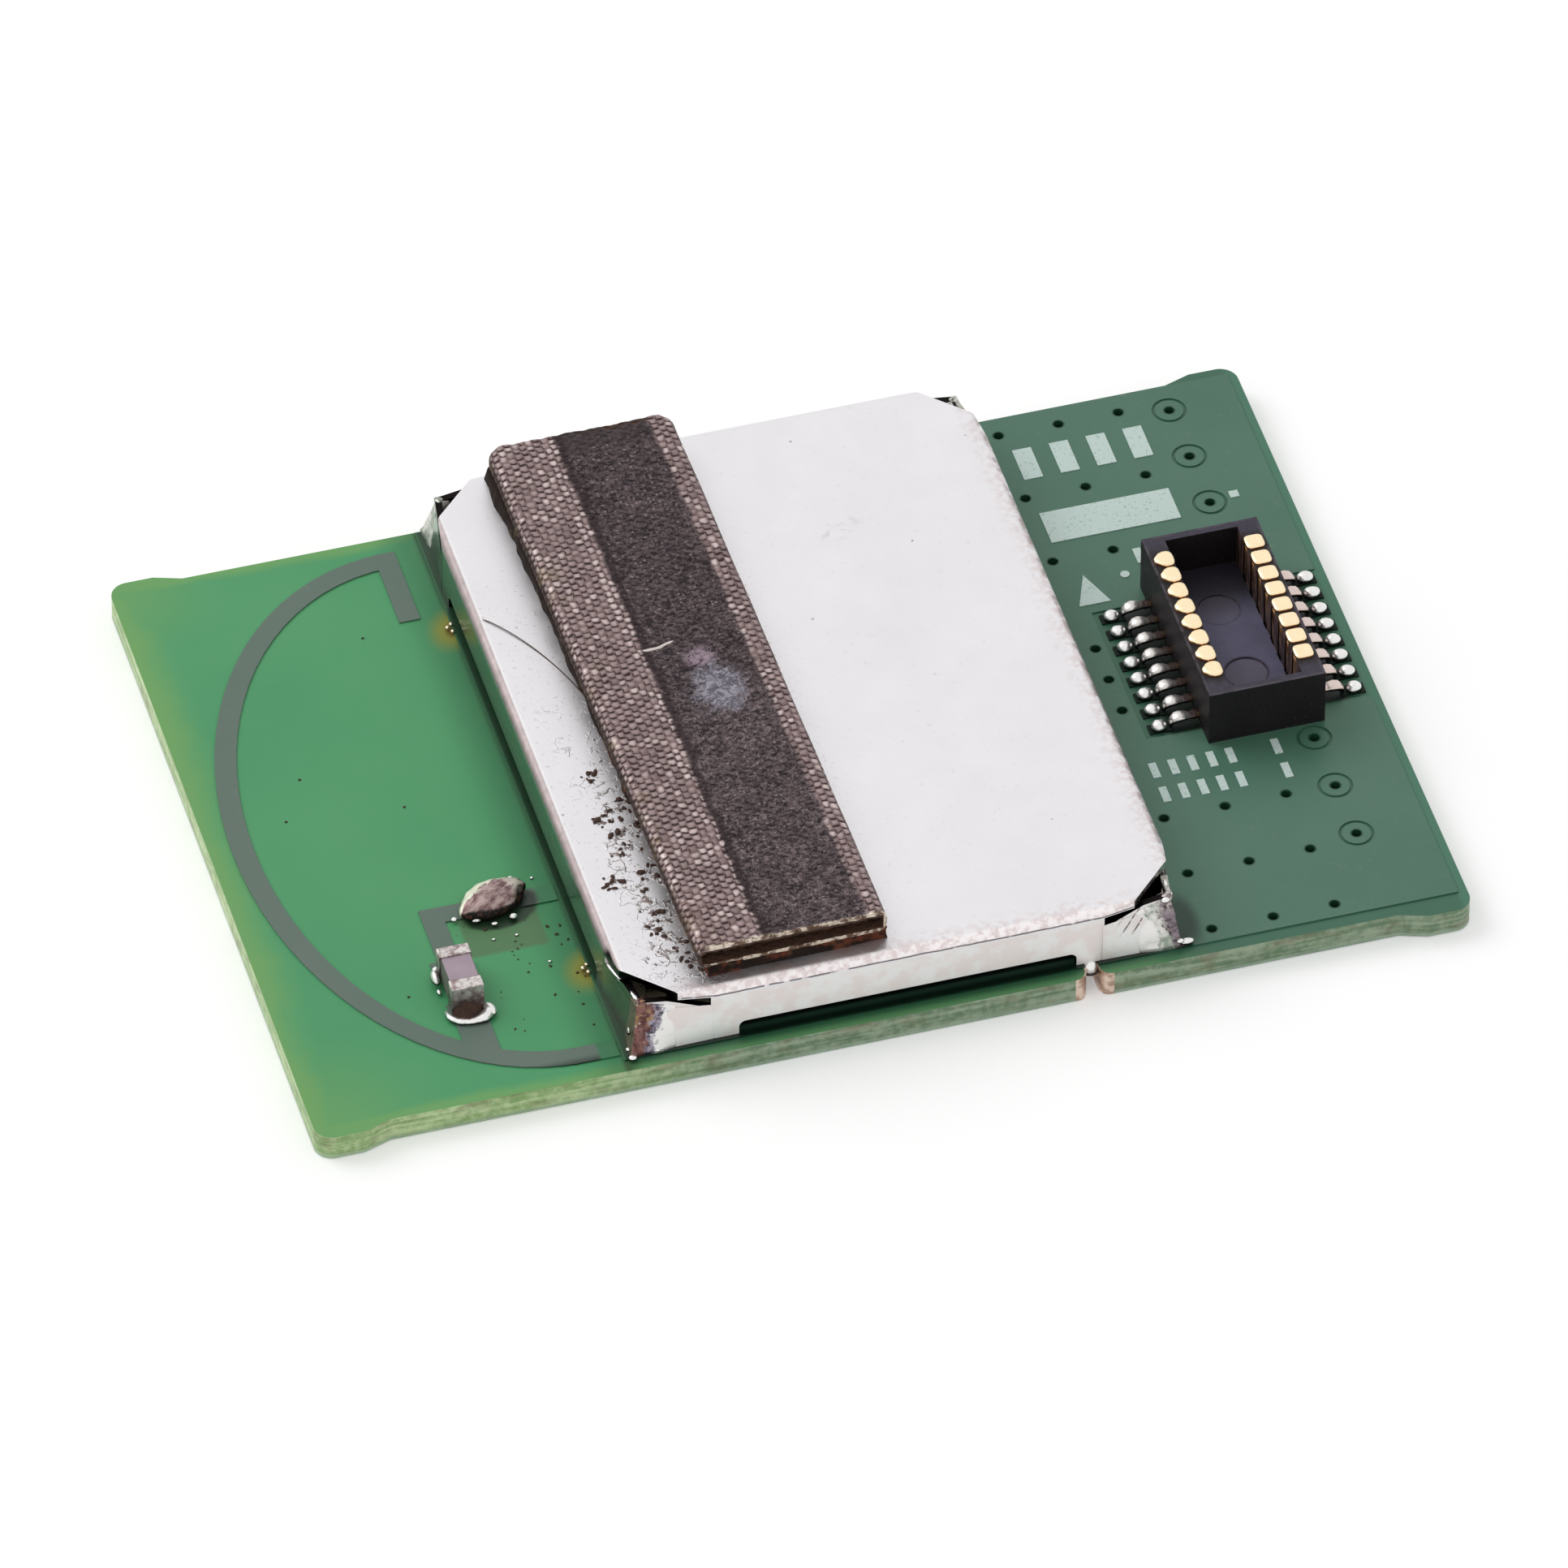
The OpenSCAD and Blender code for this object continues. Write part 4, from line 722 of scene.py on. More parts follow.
def lid_dirt(m):
    """Flux and dirt that crept out from under the gasket on its antenna side."""
    from_gasket = m.minus(FABRIC_LOW.x + 0.12, m.x)
    reach = m.times(m.noise(0.9, 3, shift=1.0), m.step(m.y, 1.0, -3.5))
    zone = m.times(m.step(m.minus(from_gasket, m.times(reach, 1.3)), 0.25, -0.15),
                   m.band(m.y, CAN_FRONT + 0.5, 0.6, 0.7), m.step(from_gasket, -0.8, -0.6))
    cracks = m.step(m.cells(0.3, "DISTANCE_TO_EDGE", place=m.ruffled(0.3, 0.16)), 0.06, 0.02)
    cracks = m.times(cracks, m.step(m.noise(0.5, 2, shift=17.0), 0.5, 0.6))
    fine = m.step(m.noise(0.16, 4, 0.65, shift=13.0), 0.56, 0.66)
    dirt = m.times(zone, m.most(m.times(cracks, 0.8), fine))
    for x, y, size in DIRT_SPOTS:
        patch = m.near(x, y, 0.0, size)
        ragged = m.noise(0.15, 4, 0.7, shift=3.0)
        patch = m.step(m.plus(patch, m.times(m.minus(ragged, 0.5), 3.4)), 0.75, 1.1)
        dirt = m.most(dirt, m.times(patch, m.near(x, y, size * 0.5, size * 1.1)))
    web = m.step(m.cells(0.42, "DISTANCE_TO_EDGE", place=m.ruffled(0.35, 0.25)), 0.03, 0.01)
    web = m.times(web, m.step(m.noise(0.6, 2, shift=23.0), 0.55, 0.63),
                  m.step(from_gasket, 1.3, 0.5), m.band(m.y, CAN_FRONT + 0.4, 1.4, 0.6),
                  m.step(from_gasket, -0.8, -0.6))
    dirt = m.most(dirt, m.times(web, 0.5))
    return m.times(dirt, m.step(m.normal_z, 0.5, 0.9), m.step(m.z, 1.98, 2.02))


def can_sheet():
    m = Material("can_sheet", roughness=0.34, metallic=1.0)
    tone = m.mix(m.noise(2.2, 4), rgb(222, 220, 222), rgb(232, 230, 233))
    tone = m.mix(m.times(m.step(m.noise(0.12, 3, shift=8.0), 0.62, 0.78), 0.3), tone,
                 rgb(194, 188, 190))
    # Pinkish wear where the lid folds down, and a dark line of painted shade under the fold at the
    # front
    edge = m.least(m.minus(m.y, CAN_FRONT), m.minus(CAN_HIGH.x, m.x))
    pink = m.times(m.step(m.plus(edge, m.times(m.noise(0.25, 3), 0.5)), 0.85, 0.35),
                   m.step(m.noise(0.14, 3, shift=2.5), 0.4, 0.62), m.step(m.z, 1.9, 1.99))
    tone = m.mix(m.times(pink, 0.55), tone, rgb(206, 189, 188))
    facing = m.step(m.normal_y, -0.15, -0.4)
    lip = m.times(facing, m.step(m.z, 1.85, 1.89))
    tone = m.mix(lip, tone, m.mix(m.step(m.noise(0.14, 3, shift=2.5), 0.4, 0.62),
                                  rgb(244, 238, 238), rgb(222, 209, 209)))
    fold = m.times(facing, m.band(m.plus(m.z, m.times(m.noise(0.4, 2), 0.04)), 1.865, 1.9, 0.015),
                   m.step(m.noise(0.3, 3, shift=27.0), 0.34, 0.44))
    tone = m.mix(m.times(fold, 0.9), tone, rgb(70, 58, 60))
    right_fold = m.times(m.step(m.normal_x, 0.15, 0.5), m.band(m.z, 1.8, 2.04, 0.05),
                         m.step(m.noise(0.3, 3, shift=9.0), 0.4, 0.6))
    tone = m.mix(m.times(right_fold, 0.6), tone, rgb(120, 106, 100))
    # Painted shade in brown-grey on the left side of the lid's fold
    left_fold = m.times(m.step(m.normal_x, -0.12, -0.35), m.step(m.z, 1.84, 1.88))
    tone = m.mix(m.times(left_fold, 0.9), tone,
                 m.mix(m.noise(0.2, 3, shift=19.0), rgb(104, 92, 92), rgb(160, 146, 144)))
    # Front wall painted near white, a painted reflection of the pale floor, and the wall that faces
    # the antenna painted green, a painted reflection of the board
    wall = m.times(m.step(m.normal_y, -0.6, -0.9), m.step(m.z, 1.84, 1.76))
    tone = m.mix(wall, tone, m.mix(m.step(m.noise(0.5, 4, shift=41.0), 0.4, 0.62),
                                   rgb(255, 255, 253), rgb(250, 241, 238)))
    # The wall that faces the antenna: green, a painted reflection of the board, and smoother
    dimmed = m.times(m.step(m.normal_x, -0.4, -0.8), m.step(m.z, 1.9, 1.8))
    streaks = m.noise(0.25, 3, place=m.join(m.x, m.times(m.y, 0.3), m.z), shift=6.0)
    tone = m.mix(m.times(dimmed, 0.85), tone, m.mix(streaks, rgb(100, 140, 112), rgb(142, 174, 148)))
    # Towards its front end that wall turns olive
    olive_front = m.times(dimmed, m.step(m.y, CAN_FRONT + 2.4, CAN_FRONT + 1.2))
    tone = m.mix(m.times(olive_front, 0.7), tone, m.mix(streaks, rgb(84, 84, 66), rgb(132, 130, 108)))
    # Creases on the flap by the front right corner, their dark lines painted shade
    crease = m.plus(m.minus(m.x, CAN_HIGH.x - 1.35), m.times(m.minus(m.z, 1.2), -0.75))
    crease = m.math("PINGPONG", m.plus(crease, 4.0), 0.14)
    crease = m.times(m.step(crease, 0.03, 0.01), m.near(CAN_HIGH.x - 1.1, CAN_FRONT, 0.2, 0.5),
                     m.step(m.z, 1.1, 1.3), m.step(m.z, 1.82, 1.74),
                     m.step(m.noise(0.08, 2, shift=44.0), 0.36, 0.5))
    tone = m.mix(m.times(crease, 0.9), tone, rgb(60, 50, 48))
    tone = flap_edges(m, tone)
    # Painted shadow in the gap above the left wall's front end, under the lid
    above = m.times(m.step(m.normal_x, -0.3, -0.6), m.step(m.z, FLAP_TOP - 0.02, FLAP_TOP + 0.02),
                    m.step(m.y, CAN_FRONT + FLAP_L + 0.1, CAN_FRONT + FLAP_L - 0.2))
    tone = m.mix(above, tone, rgb(12, 9, 9))
    dirt = lid_dirt(m)
    # A few faint specks anywhere
    rare = m.times(m.step(m.cells(0.7), 0.055, 0.03), m.step(m.noise(1.6, 1, shift=21.0), 0.5, 0.56))
    grime = m.mix(m.noise(0.2, 3, shift=31.0), rgb(52, 36, 32), rgb(132, 100, 84))
    tone = m.mix(m.times(rare, 0.55), tone, rgb(96, 84, 82))
    beside = m.minus(m.x, FABRIC_HIGH.x - 0.25)
    beside = m.times(m.step(beside, 1.0, 0.1), m.step(m.y, 7.0, 4.0), m.step(m.z, 1.98, 2.02))
    flecks = m.times(beside, m.step(m.noise(0.11, 3, 0.6, shift=35.0), 0.6, 0.7))
    tone = m.mix(m.times(flecks, 0.5), tone, rgb(176, 170, 168))
    smudge = m.times(m.near(CAN_LOW.x + 8.2, 4.6, 0.05, 0.4, 2.0, 20),
                     m.step(m.noise(0.2, 3, shift=36.0), 0.5, 0.62))
    tone = m.mix(m.times(smudge, 0.35), tone, rgb(168, 166, 160))
    tone = m.mix(m.times(dirt, 0.85), tone, grime)
    # Inside of the can's walls and lid painted near black as shade
    m.colour(m.mix(facing_in(m), tone, rgb(5, 4, 4)))
    smooth = m.most(dimmed, m.step(m.normal_z, 0.3, -0.1))
    rough = m.minus(m.plus(m.noise(0.6, 3, shift=15.0), 0.4), m.times(smooth, 0.7))
    rough = m.most(rough, m.times(dirt, 1.5))
    m.rough(m.plus(rough, m.times(wall, 1.4)), 0.2, 0.46)
    metal = m.minus(1.0, m.times(wall, WALL_REFLECTION_PAINT))
    m.plug(metal, m.shader.inputs["Metallic"])
    brushed = m.noise(0.05, 2, place=m.join(m.x, m.times(m.y, 0.25), m.z))
    m.raise_by(brushed, 0.001)
    m.raise_by(m.noise(2.5, 2, shift=2.0), 0.01)
    m.raise_by(dirt, 0.015)
    m.raise_by(m.times(crease, -1.0), 0.01)
    return m.done()


def adhesive():
    m = Material("adhesive", roughness=0.8, Specular_IOR_Level=0.15)
    # Near black: the glue's own dark colour with painted shade from the gasket above it
    tone = m.mix(m.noise(0.3, 4), rgb(14, 9, 9), rgb(48, 34, 28))
    brown = m.times(m.step(m.noise(0.35, 3, shift=2.0), 0.46, 0.64), m.step(m.y, 0.5, -2.5))
    olive = m.step(m.noise(0.4, 3, shift=12.0), 0.56, 0.7)
    tone = m.mix(m.times(olive, 0.6), tone, rgb(96, 84, 56))
    m.colour(m.mix(m.times(brown, 0.8), tone, rgb(116, 62, 42)))
    m.raise_by(m.noise(0.1, 4), 0.03)
    return m.done()


def foam():
    m = Material("foam", roughness=0.9)
    pores = m.step(m.cells(0.09), 0.35, 0.6)
    tone = m.mix(pores, rgb(40, 26, 20), rgb(112, 78, 50))
    m.colour(m.mix(m.times(m.step(m.noise(0.5, 2, shift=4.0), 0.55, 0.7), 0.7), tone,
                   rgb(150, 72, 26)))
    m.raise_by(pores, 0.03)
    return m.done()


def moulding():
    """Black plastic, with a painted purple sheen and painted highlights on the edges of its top rim,
    and a painted grey sheen on the socket's floor.
    """
    m = Material("connector_plastic", roughness=0.5, Specular_IOR_Level=0.3)
    tone = m.mix(m.noise(0.3, 3), rgb(14, 11, 14), rgb(30, 22, 26))
    up = m.step(m.normal_z, 0.3, 0.8)
    middle = (HOUSING_LOW + HOUSING_HIGH) / 2
    half = (HOUSING_HIGH - HOUSING_LOW) / 2
    along = m.minus(half.y, m.absolute(m.minus(m.y, middle.y)))
    across = m.minus(half.x, m.absolute(m.minus(m.x, middle.x)))
    # Painted sheen on the top rim: purple towards its ends, lighter along its edges
    rim = m.times(up, m.step(m.z, HOUSING_HIGH.z - 0.2, HOUSING_HIGH.z - 0.05))
    corner = m.times(rim, m.step(m.plus(along, m.times(m.noise(0.2, 3), 0.3)), 0.72, 0.42))
    tone = m.mix(m.times(corner, 0.8), tone,
                 m.mix(m.noise(0.15, 3, shift=2.0), rgb(46, 40, 54), rgb(80, 74, 90)))
    outline = m.times(rim, m.step(m.least(along, across), 0.07, 0.04),
                      m.step(m.noise(0.3, 2, shift=4.0), 0.35, 0.6))
    tone = m.mix(m.times(outline, 0.6), tone, rgb(92, 86, 96))
    # The socket's floor: a painted grey sheen, darker towards the back as painted shade, with its
    # moulded marks
    deep = m.times(up, m.step(m.z, HOUSING_HIGH.z - 0.5, HOUSING_HIGH.z - 0.8))
    floor = m.mix(m.noise(0.4, 2, shift=7.0), rgb(84, 84, 106), rgb(110, 108, 134))
    floor = m.mix(m.step(m.y, middle.y + 0.5, middle.y + 1.6), floor, rgb(34, 31, 40))
    for y, strength in EJECT_MARKS:
        disc = m.near(middle.x, middle.y + y, 0.43, 0.46)
        floor = m.mix(m.times(disc, 0.4 * strength), floor, rgb(106, 96, 106))
        ring = m.minus(m.near(middle.x, middle.y + y, 0.47, 0.51), disc)
        floor = m.mix(m.times(ring, 0.75 * strength), floor, rgb(44, 38, 52))
    # Painted warm reflection of the contacts on the floor's left side
    glow = m.step(m.x, middle.x - 0.55, middle.x - 0.8)
    floor = m.mix(m.times(glow, 0.6, m.noise(0.2, 2)), floor, rgb(150, 100, 62))
    tone = m.mix(deep, tone, floor)
    # Warm light from the contacts on the socket's far wall
    warm = m.times(m.step(m.normal_x, -0.4, -0.7), m.step(m.x, middle.x, middle.x + 0.3),
                   m.step(m.x, middle.x + 1.1, middle.x + 1.0))
    slats = m.noise(0.12, 2, place=m.join(m.y, 0.0, m.times(m.z, 0.2)), shift=9.0)
    tone = m.mix(m.times(warm, 0.8), tone, m.mix(m.step(slats, 0.4, 0.6), rgb(44, 28, 26),
                                                 rgb(104, 80, 74)))
    tone = m.mix(m.times(m.step(m.noise(0.06, 3, shift=3.0), 0.6, 0.74), 0.4), tone,
                 rgb(84, 74, 78))
    m.colour(tone)
    m.rough(m.noise(0.15, shift=5.0), 0.42, 0.65)
    m.raise_by(m.noise(0.05, 3), 0.006)
    return m.done()


def contact_strip():
    """Pale gold heads, gold darkened in the socket as painted shade, tin on the soldered legs."""
    m = Material("contact_strip", roughness=0.25, metallic=0.9)
    middle = (HOUSING_LOW.x + HOUSING_HIGH.x) / 2
    reach = (HOUSING_HIGH.x - HOUSING_LOW.x) / 2
    away = m.absolute(m.minus(m.x, middle))
    out = m.step(away, reach - 0.1, reach + 0.1)
    gold = m.mix(m.noise(0.1, 3), rgb(255, 243, 212), rgb(255, 226, 178))
    # Painted shade: the heads' sides orange
    gold = m.mix(m.step(m.normal_z, 0.6, 0.2), gold, rgb(206, 146, 88))
    # Painted shade on the gold down in the socket
    deep = m.mix(m.step(m.noise(0.25, 3, place=m.join(m.y, 0.0, m.times(m.z, 0.4))), 0.4, 0.6),
                 rgb(112, 68, 40), rgb(196, 158, 110))
    gold = m.mix(m.step(m.z, HOUSING_HIGH.z + 0.02, HOUSING_HIGH.z - 0.12), gold, deep)
    bright = m.mix(m.noise(0.12, 3), rgb(240, 238, 234), rgb(196, 188, 184))
    pinkish = m.times(m.step(m.x, middle, middle + 0.5), 0.5)
    bright = m.mix(pinkish, bright, rgb(222, 190, 180))
    shaded = m.times(m.step(away, reach + 0.34, reach + 0.16), m.step(m.x, middle + 0.5, middle))
    bright = m.mix(m.times(shaded, 0.92), bright, rgb(66, 44, 38))
    # Painted shade on the legs' steep and lower faces
    bright = m.mix(m.step(m.normal_z, 0.45, 0.0), bright, rgb(40, 32, 30))
    m.colour(m.mix(out, gold, bright))
    m.rough(m.noise(0.1, shift=2.0), 0.2, 0.4)
    m.raise_by(m.noise(0.08, 2), 0.006)
    return m.done()


def chip_plastic():
    m = Material("chip_plastic", roughness=0.6)
    m.colour(m.mix(m.noise(0.3, 3), rgb(30, 30, 32), rgb(48, 47, 50)))
    m.raise_by(m.noise(0.06, 3), 0.006)
    return m.done()


def crystal_metal():
    m = Material("crystal_metal", roughness=0.3, metallic=1.0)
    m.colour(m.mix(m.noise(0.4, 3), rgb(206, 200, 186), rgb(224, 219, 208)))
    m.raise_by(m.noise(0.3, 2), 0.004)
    return m.done()


def fabric():
    """Metallised cloth of fine threads, worn dark and fibrous along its middle."""
    m = Material("conductive_fabric", roughness=0.5, metallic=0.35)
    u, v, w = m.split(m.turned(GASKET_TURN, GASKET_MIDDLE))
    # Place across the cloth, which goes on down its sides
    drop = m.most(m.minus(GASKET_HALF_T - WEAVE_CALM, w), 0.0)
    across = m.plus(u, m.times(m.math("SIGN", u), drop))
    bend_u = m.waver(0.14, 0.35, 2, shift=12.0)
    bend_v = m.waver(0.14, 0.3, 2, shift=14.0)
    # Staggered rows of lumps, with a dark hook between each and the next
    su = m.plus(m.over(m.plus(across, bend_u), LUMP_U), 0.5)
    column = m.math("FLOOR", su)
    sv = m.over(m.plus(v, bend_v), LUMP_V)
    sv = m.plus(sv, m.times(m.math("PINGPONG", column, 1.0), 0.5))
    cell = m.join(column, m.math("FLOOR", m.plus(sv, 0.5)), 0.0)
    shade = m.white(cell)
    second = m.white(m.vector("ADD", cell, (0.37, 0.71, 0.0)))
    fu = m.minus(m.math("FRACT", su), 0.5)
    fv = m.minus(m.math("FRACT", m.plus(sv, 0.5)), 0.5)
    middle = m.step(m.vector("LENGTH", m.join(fu, m.times(fv, 0.9), 0.0)), 0.55, 0.1)
    bar = m.times(m.step(m.absolute(fv), 0.3, 0.46), m.step(second, 0.16, 0.3),
                  m.step(m.absolute(fu), 0.5, 0.34))
    hook = m.times(m.step(fu, -0.28, -0.44), m.step(fv, 0.12, -0.12), m.step(shade, 0.6, 0.4))
    border = m.most(bar, hook)
    # Each lump lighter in its middle: a painted highlight on the thread
    light = m.mix(middle, rgb(120, 97, 97), rgb(168, 147, 145))
    light = m.mix(m.times(m.step(shade, 0.3, 0.0), 0.5), light, rgb(98, 76, 76))
    light = m.mix(m.times(m.step(shade, 0.7, 1.0), middle, 0.9), light, rgb(226, 208, 204))
    light = m.mix(m.step(m.noise(1.2, 3), 0.62, 0.3), light, m.mix(0.2, light, rgb(110, 92, 88)))
    cloth = m.mix(m.times(border, 0.92), light, rgb(50, 29, 32))
    # The worn strip, with the left-over nap of what was stuck there
    left = m.plus(m.times(v, 0.004), STRIP_LEFT)
    right = m.plus(m.times(v, -0.006), STRIP_RIGHT)
    wander = m.waver(0.34, 0.34, 4, 0.65, shift=4.0)
    place = m.plus(u, wander)
    on_top = m.step(w, GASKET_HALF_T - 0.14, GASKET_HALF_T - 0.09)
    worn = m.times(m.step(m.minus(place, left), -0.05, 0.05),
                   m.step(m.minus(right, place), -0.06, 0.06), on_top)
    nap = m.noise(0.13, 4, 0.72, twist=1.0, shift=2.0)
    felt = m.mix(m.step(nap, 0.36, 0.64), rgb(42, 31, 34), rgb(112, 97, 100))
    # Faint light dots on the strip: painted highlights on the tops of the weave's lumps
    grain = m.step(m.cells(0.1, chance=0.8), 0.42, 0.12)
    chosen = m.step(m.split(m.cells(0.1, output="Color", chance=0.8))[0], 0.5, 0.8)
    felt = m.mix(m.times(grain, chosen, 0.75), felt, rgb(166, 151, 154))
    felt = m.mix(m.times(border, 0.6), felt, rgb(30, 19, 22))
    # Curls of thread in the front half, the back end darker
    for shift, size in ((6.0, 0.55), (26.0, 0.4)):
        curls = m.absolute(m.minus(m.noise(size, 2, 0.5, twist=2.4, shift=shift), 0.5))
        curls = m.times(m.step(curls, 0.026, 0.006), m.step(v, 0.6, -1.5),
                        m.step(m.noise(0.3, 2, shift=shift + 1), 0.42, 0.6))
        felt = m.mix(m.times(curls, 0.7), felt, rgb(158, 142, 142))
    ends = m.step(m.plus(v, m.times(wander, 2.0)), GASKET_HALF_L - 0.8, GASKET_HALF_L - 0.5)
    felt = m.mix(m.times(ends, 0.6), felt, rgb(58, 48, 48))
    dark = m.step(m.plus(nap, m.noise(1.2, 2, shift=8.0)), 0.96, 0.8)
    felt = m.mix(m.times(dark, 0.6), felt, rgb(34, 24, 26))
    # Scuff left by a finger in the middle, and a pinkish patch behind it
    strokes = m.noise(0.13, 3, 0.65, place=m.stretched(u, v, 40, 2.6), shift=1.0)
    scuff = m.spot(u, v, 0.62, -0.5, 0.2, 1.4, 0.75, 0)
    scuff = m.step(m.plus(scuff, m.times(m.minus(strokes, 0.5), 1.7)), 0.35, 0.95)
    pale = m.mix(m.step(nap, 0.4, 0.6), rgb(112, 108, 122), rgb(182, 178, 190))
    felt = m.mix(m.times(scuff, 0.85), felt, pale)
    pink = m.spot(u, v, 0.5, 0.52, 0.12, 0.36, 1.3, 15)
    felt = m.mix(m.times(pink, m.step(nap, 0.35, 0.5), 0.85), felt, rgb(176, 156, 168))
    # A crease darkened with painted shade, and a row of lighter stitches on the strip's left edge
    gap = m.minus(place, left)
    crease = m.times(m.band(gap, -0.05, 0.16, 0.05), m.step(nap, 0.3, 0.55), on_top)
    stitch = m.times(m.band(gap, -0.26, -0.04, 0.04), middle, m.step(second, 0.3, 0.7), on_top)
    tone = m.mix(worn, cloth, felt)
    tone = m.mix(m.times(crease, 0.75), tone, rgb(40, 22, 26))
    tone = m.mix(m.times(stitch, 0.8), tone, rgb(228, 210, 206))
    # Darker brown on the side faces, bright cut threads at the front rim, brown inside
    low = m.step(w, GASKET_HALF_T - 0.07, GASKET_HALF_T - 0.2)
    tone = m.mix(m.times(low, 0.93), tone, m.mix(m.noise(0.25, 3, shift=5.0), rgb(30, 19, 18),
                                                 rgb(70, 48, 40)))
    brown = m.times(m.near(FABRIC_LOW.x + 0.25, CAN_FRONT + 1.0, 0.1, 0.8, 2.0, 90),
                    m.step(m.noise(0.2, 3, shift=16.0), 0.45, 0.6))
    tone = m.mix(m.times(brown, 0.45), tone, rgb(112, 84, 66))
    olive = m.times(m.step(u, 0.7 - GASKET_HALF_W, 0.1 - GASKET_HALF_W),
                    m.step(m.noise(0.6, 3, shift=33.0), 0.52, 0.66))
    tone = m.mix(m.times(olive, 0.4), tone, rgb(120, 104, 70))
    rim = m.step(m.plus(v, m.times(m.noise(0.12, 2), 0.1)), 0.2 - GASKET_HALF_L,
                 0.1 - GASKET_HALF_L)
    frayed = m.mix(m.step(m.noise(0.16, 3, shift=3.0), 0.4, 0.58), rgb(112, 86, 70),
                   rgb(232, 218, 200))
    tone = m.mix(m.times(rim, m.step(u, -GASKET_HALF_W + 0.12, -GASKET_HALF_W + 0.3)), tone, frayed)
    inner = m.least(m.minus(GASKET_HALF_T, m.absolute(w)), m.minus(GASKET_HALF_W, m.absolute(u)))
    inner = m.step(inner, 0.085, 0.1)
    tone = m.mix(inner, tone, m.mix(m.noise(0.2, 3), rgb(34, 22, 18), rgb(92, 60, 40)))
    m.colour(tone)
    m.rough(m.most(worn, border, low), 0.42, 0.85)
    m.raise_by(m.times(nap, worn), 0.03)
    m.raise_by(m.minus(m.times(middle, 0.6), border), 0.02)
    return m.done()


def dirt():
    m = Material("dirt", roughness=0.8)
    m.colour(m.mix(m.noise(0.1, 3), rgb(30, 20, 18), rgb(92, 62, 48)))
    m.raise_by(m.noise(0.05, 3), 0.01)
    return m.done()


def fibre():
    m = Material("fibre", roughness=0.6)
    m.colour(m.mix(m.noise(0.1, 2), rgb(246, 236, 230), rgb(222, 206, 198)))
    m.raise_by(m.noise(0.04, 2), 0.006)
    return m.done()


def make_materials():
    return {
        "laminate": laminate(),
        "masked_copper": masked_copper("masked_copper", rgb(64, 108, 89), rgb(88, 126, 107)),
        "trace_copper": masked_copper("trace_copper", rgb(90, 112, 100), rgb(104, 120, 110)),
        "via_copper": via_copper(),
        "shaded_copper": shaded_copper(),
        "gold_plate": gold_plate(),
        "ink": ink(),
        # The capacitor's green side is a painted reflection of the board
        "capacitor_ceramic": ceramic("capacitor_ceramic", rgb(158, 139, 154), rgb(184, 167, 177),
                                     side=rgb(72, 88, 66)),
        "tin": tin(),
        "solder": solder(),
        "burnt_solder": burnt_solder(),
        "bead_tin": bead_tin(),
        "dirt": dirt(),
        "fibre": fibre(),
        "can_sheet": can_sheet(),
        "adhesive": adhesive(),
        "foam": foam(),
        "conductive_fabric": fabric(),
        "connector_plastic": moulding(),
        "contact_gold": contact_strip(),
        "chip_plastic": chip_plastic(),
        "crystal_ceramic": ceramic("crystal_ceramic", rgb(196, 184, 164), rgb(214, 204, 186)),
        "crystal_metal": crystal_metal(),
        "filter_ceramic": ceramic("filter_ceramic", rgb(214, 212, 200), rgb(230, 229, 220)),
        "ferrite": ceramic("ferrite", rgb(70, 68, 72), rgb(92, 90, 93)),
        "small_capacitor_ceramic": ceramic("small_capacitor_ceramic", rgb(150, 124, 92),
                                           rgb(172, 148, 116)),
        "resistor_coat": ceramic("resistor_coat", rgb(26, 26, 28), rgb(40, 40, 43), 0.3),
    }


# Pieces ----------------------------------------------------------------------------------

def piece(name, points, faces, material, replaced=(), smooth=True):
    """A closed mesh from points in millimetres, which rides on the board."""
    mesh = bpy.data.meshes.new(name)
    mesh.from_pydata([Vector(point) * MM for point in points], [], faces)
    mesh.materials.append(material)
    made = bpy.data.objects.new(name, mesh)
    bpy.context.scene.collection.objects.link(made)
    work = bmesh.new()
    work.from_mesh(mesh)
    bmesh.ops.recalc_face_normals(work, faces=work.faces)
    work.to_mesh(mesh)
    work.free()
    mesh.polygons.foreach_set("use_smooth", [smooth] * len(mesh.polygons))
    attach(made, "root")
    if replaced:
        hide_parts(*replaced)
    return made


def ripple(x, y, z=0.0, size=1.0):
    """Smooth noise from about -1 to 1, with features of about this size."""
    return noise.noise(Vector((x, y, z)) / size)


def ease(value, low, high):
    """0 at low, 1 at high, smooth between."""
    t = min(max((value - low) / (high - low), 0), 1)
    return t * t * (3 - 2 * t)


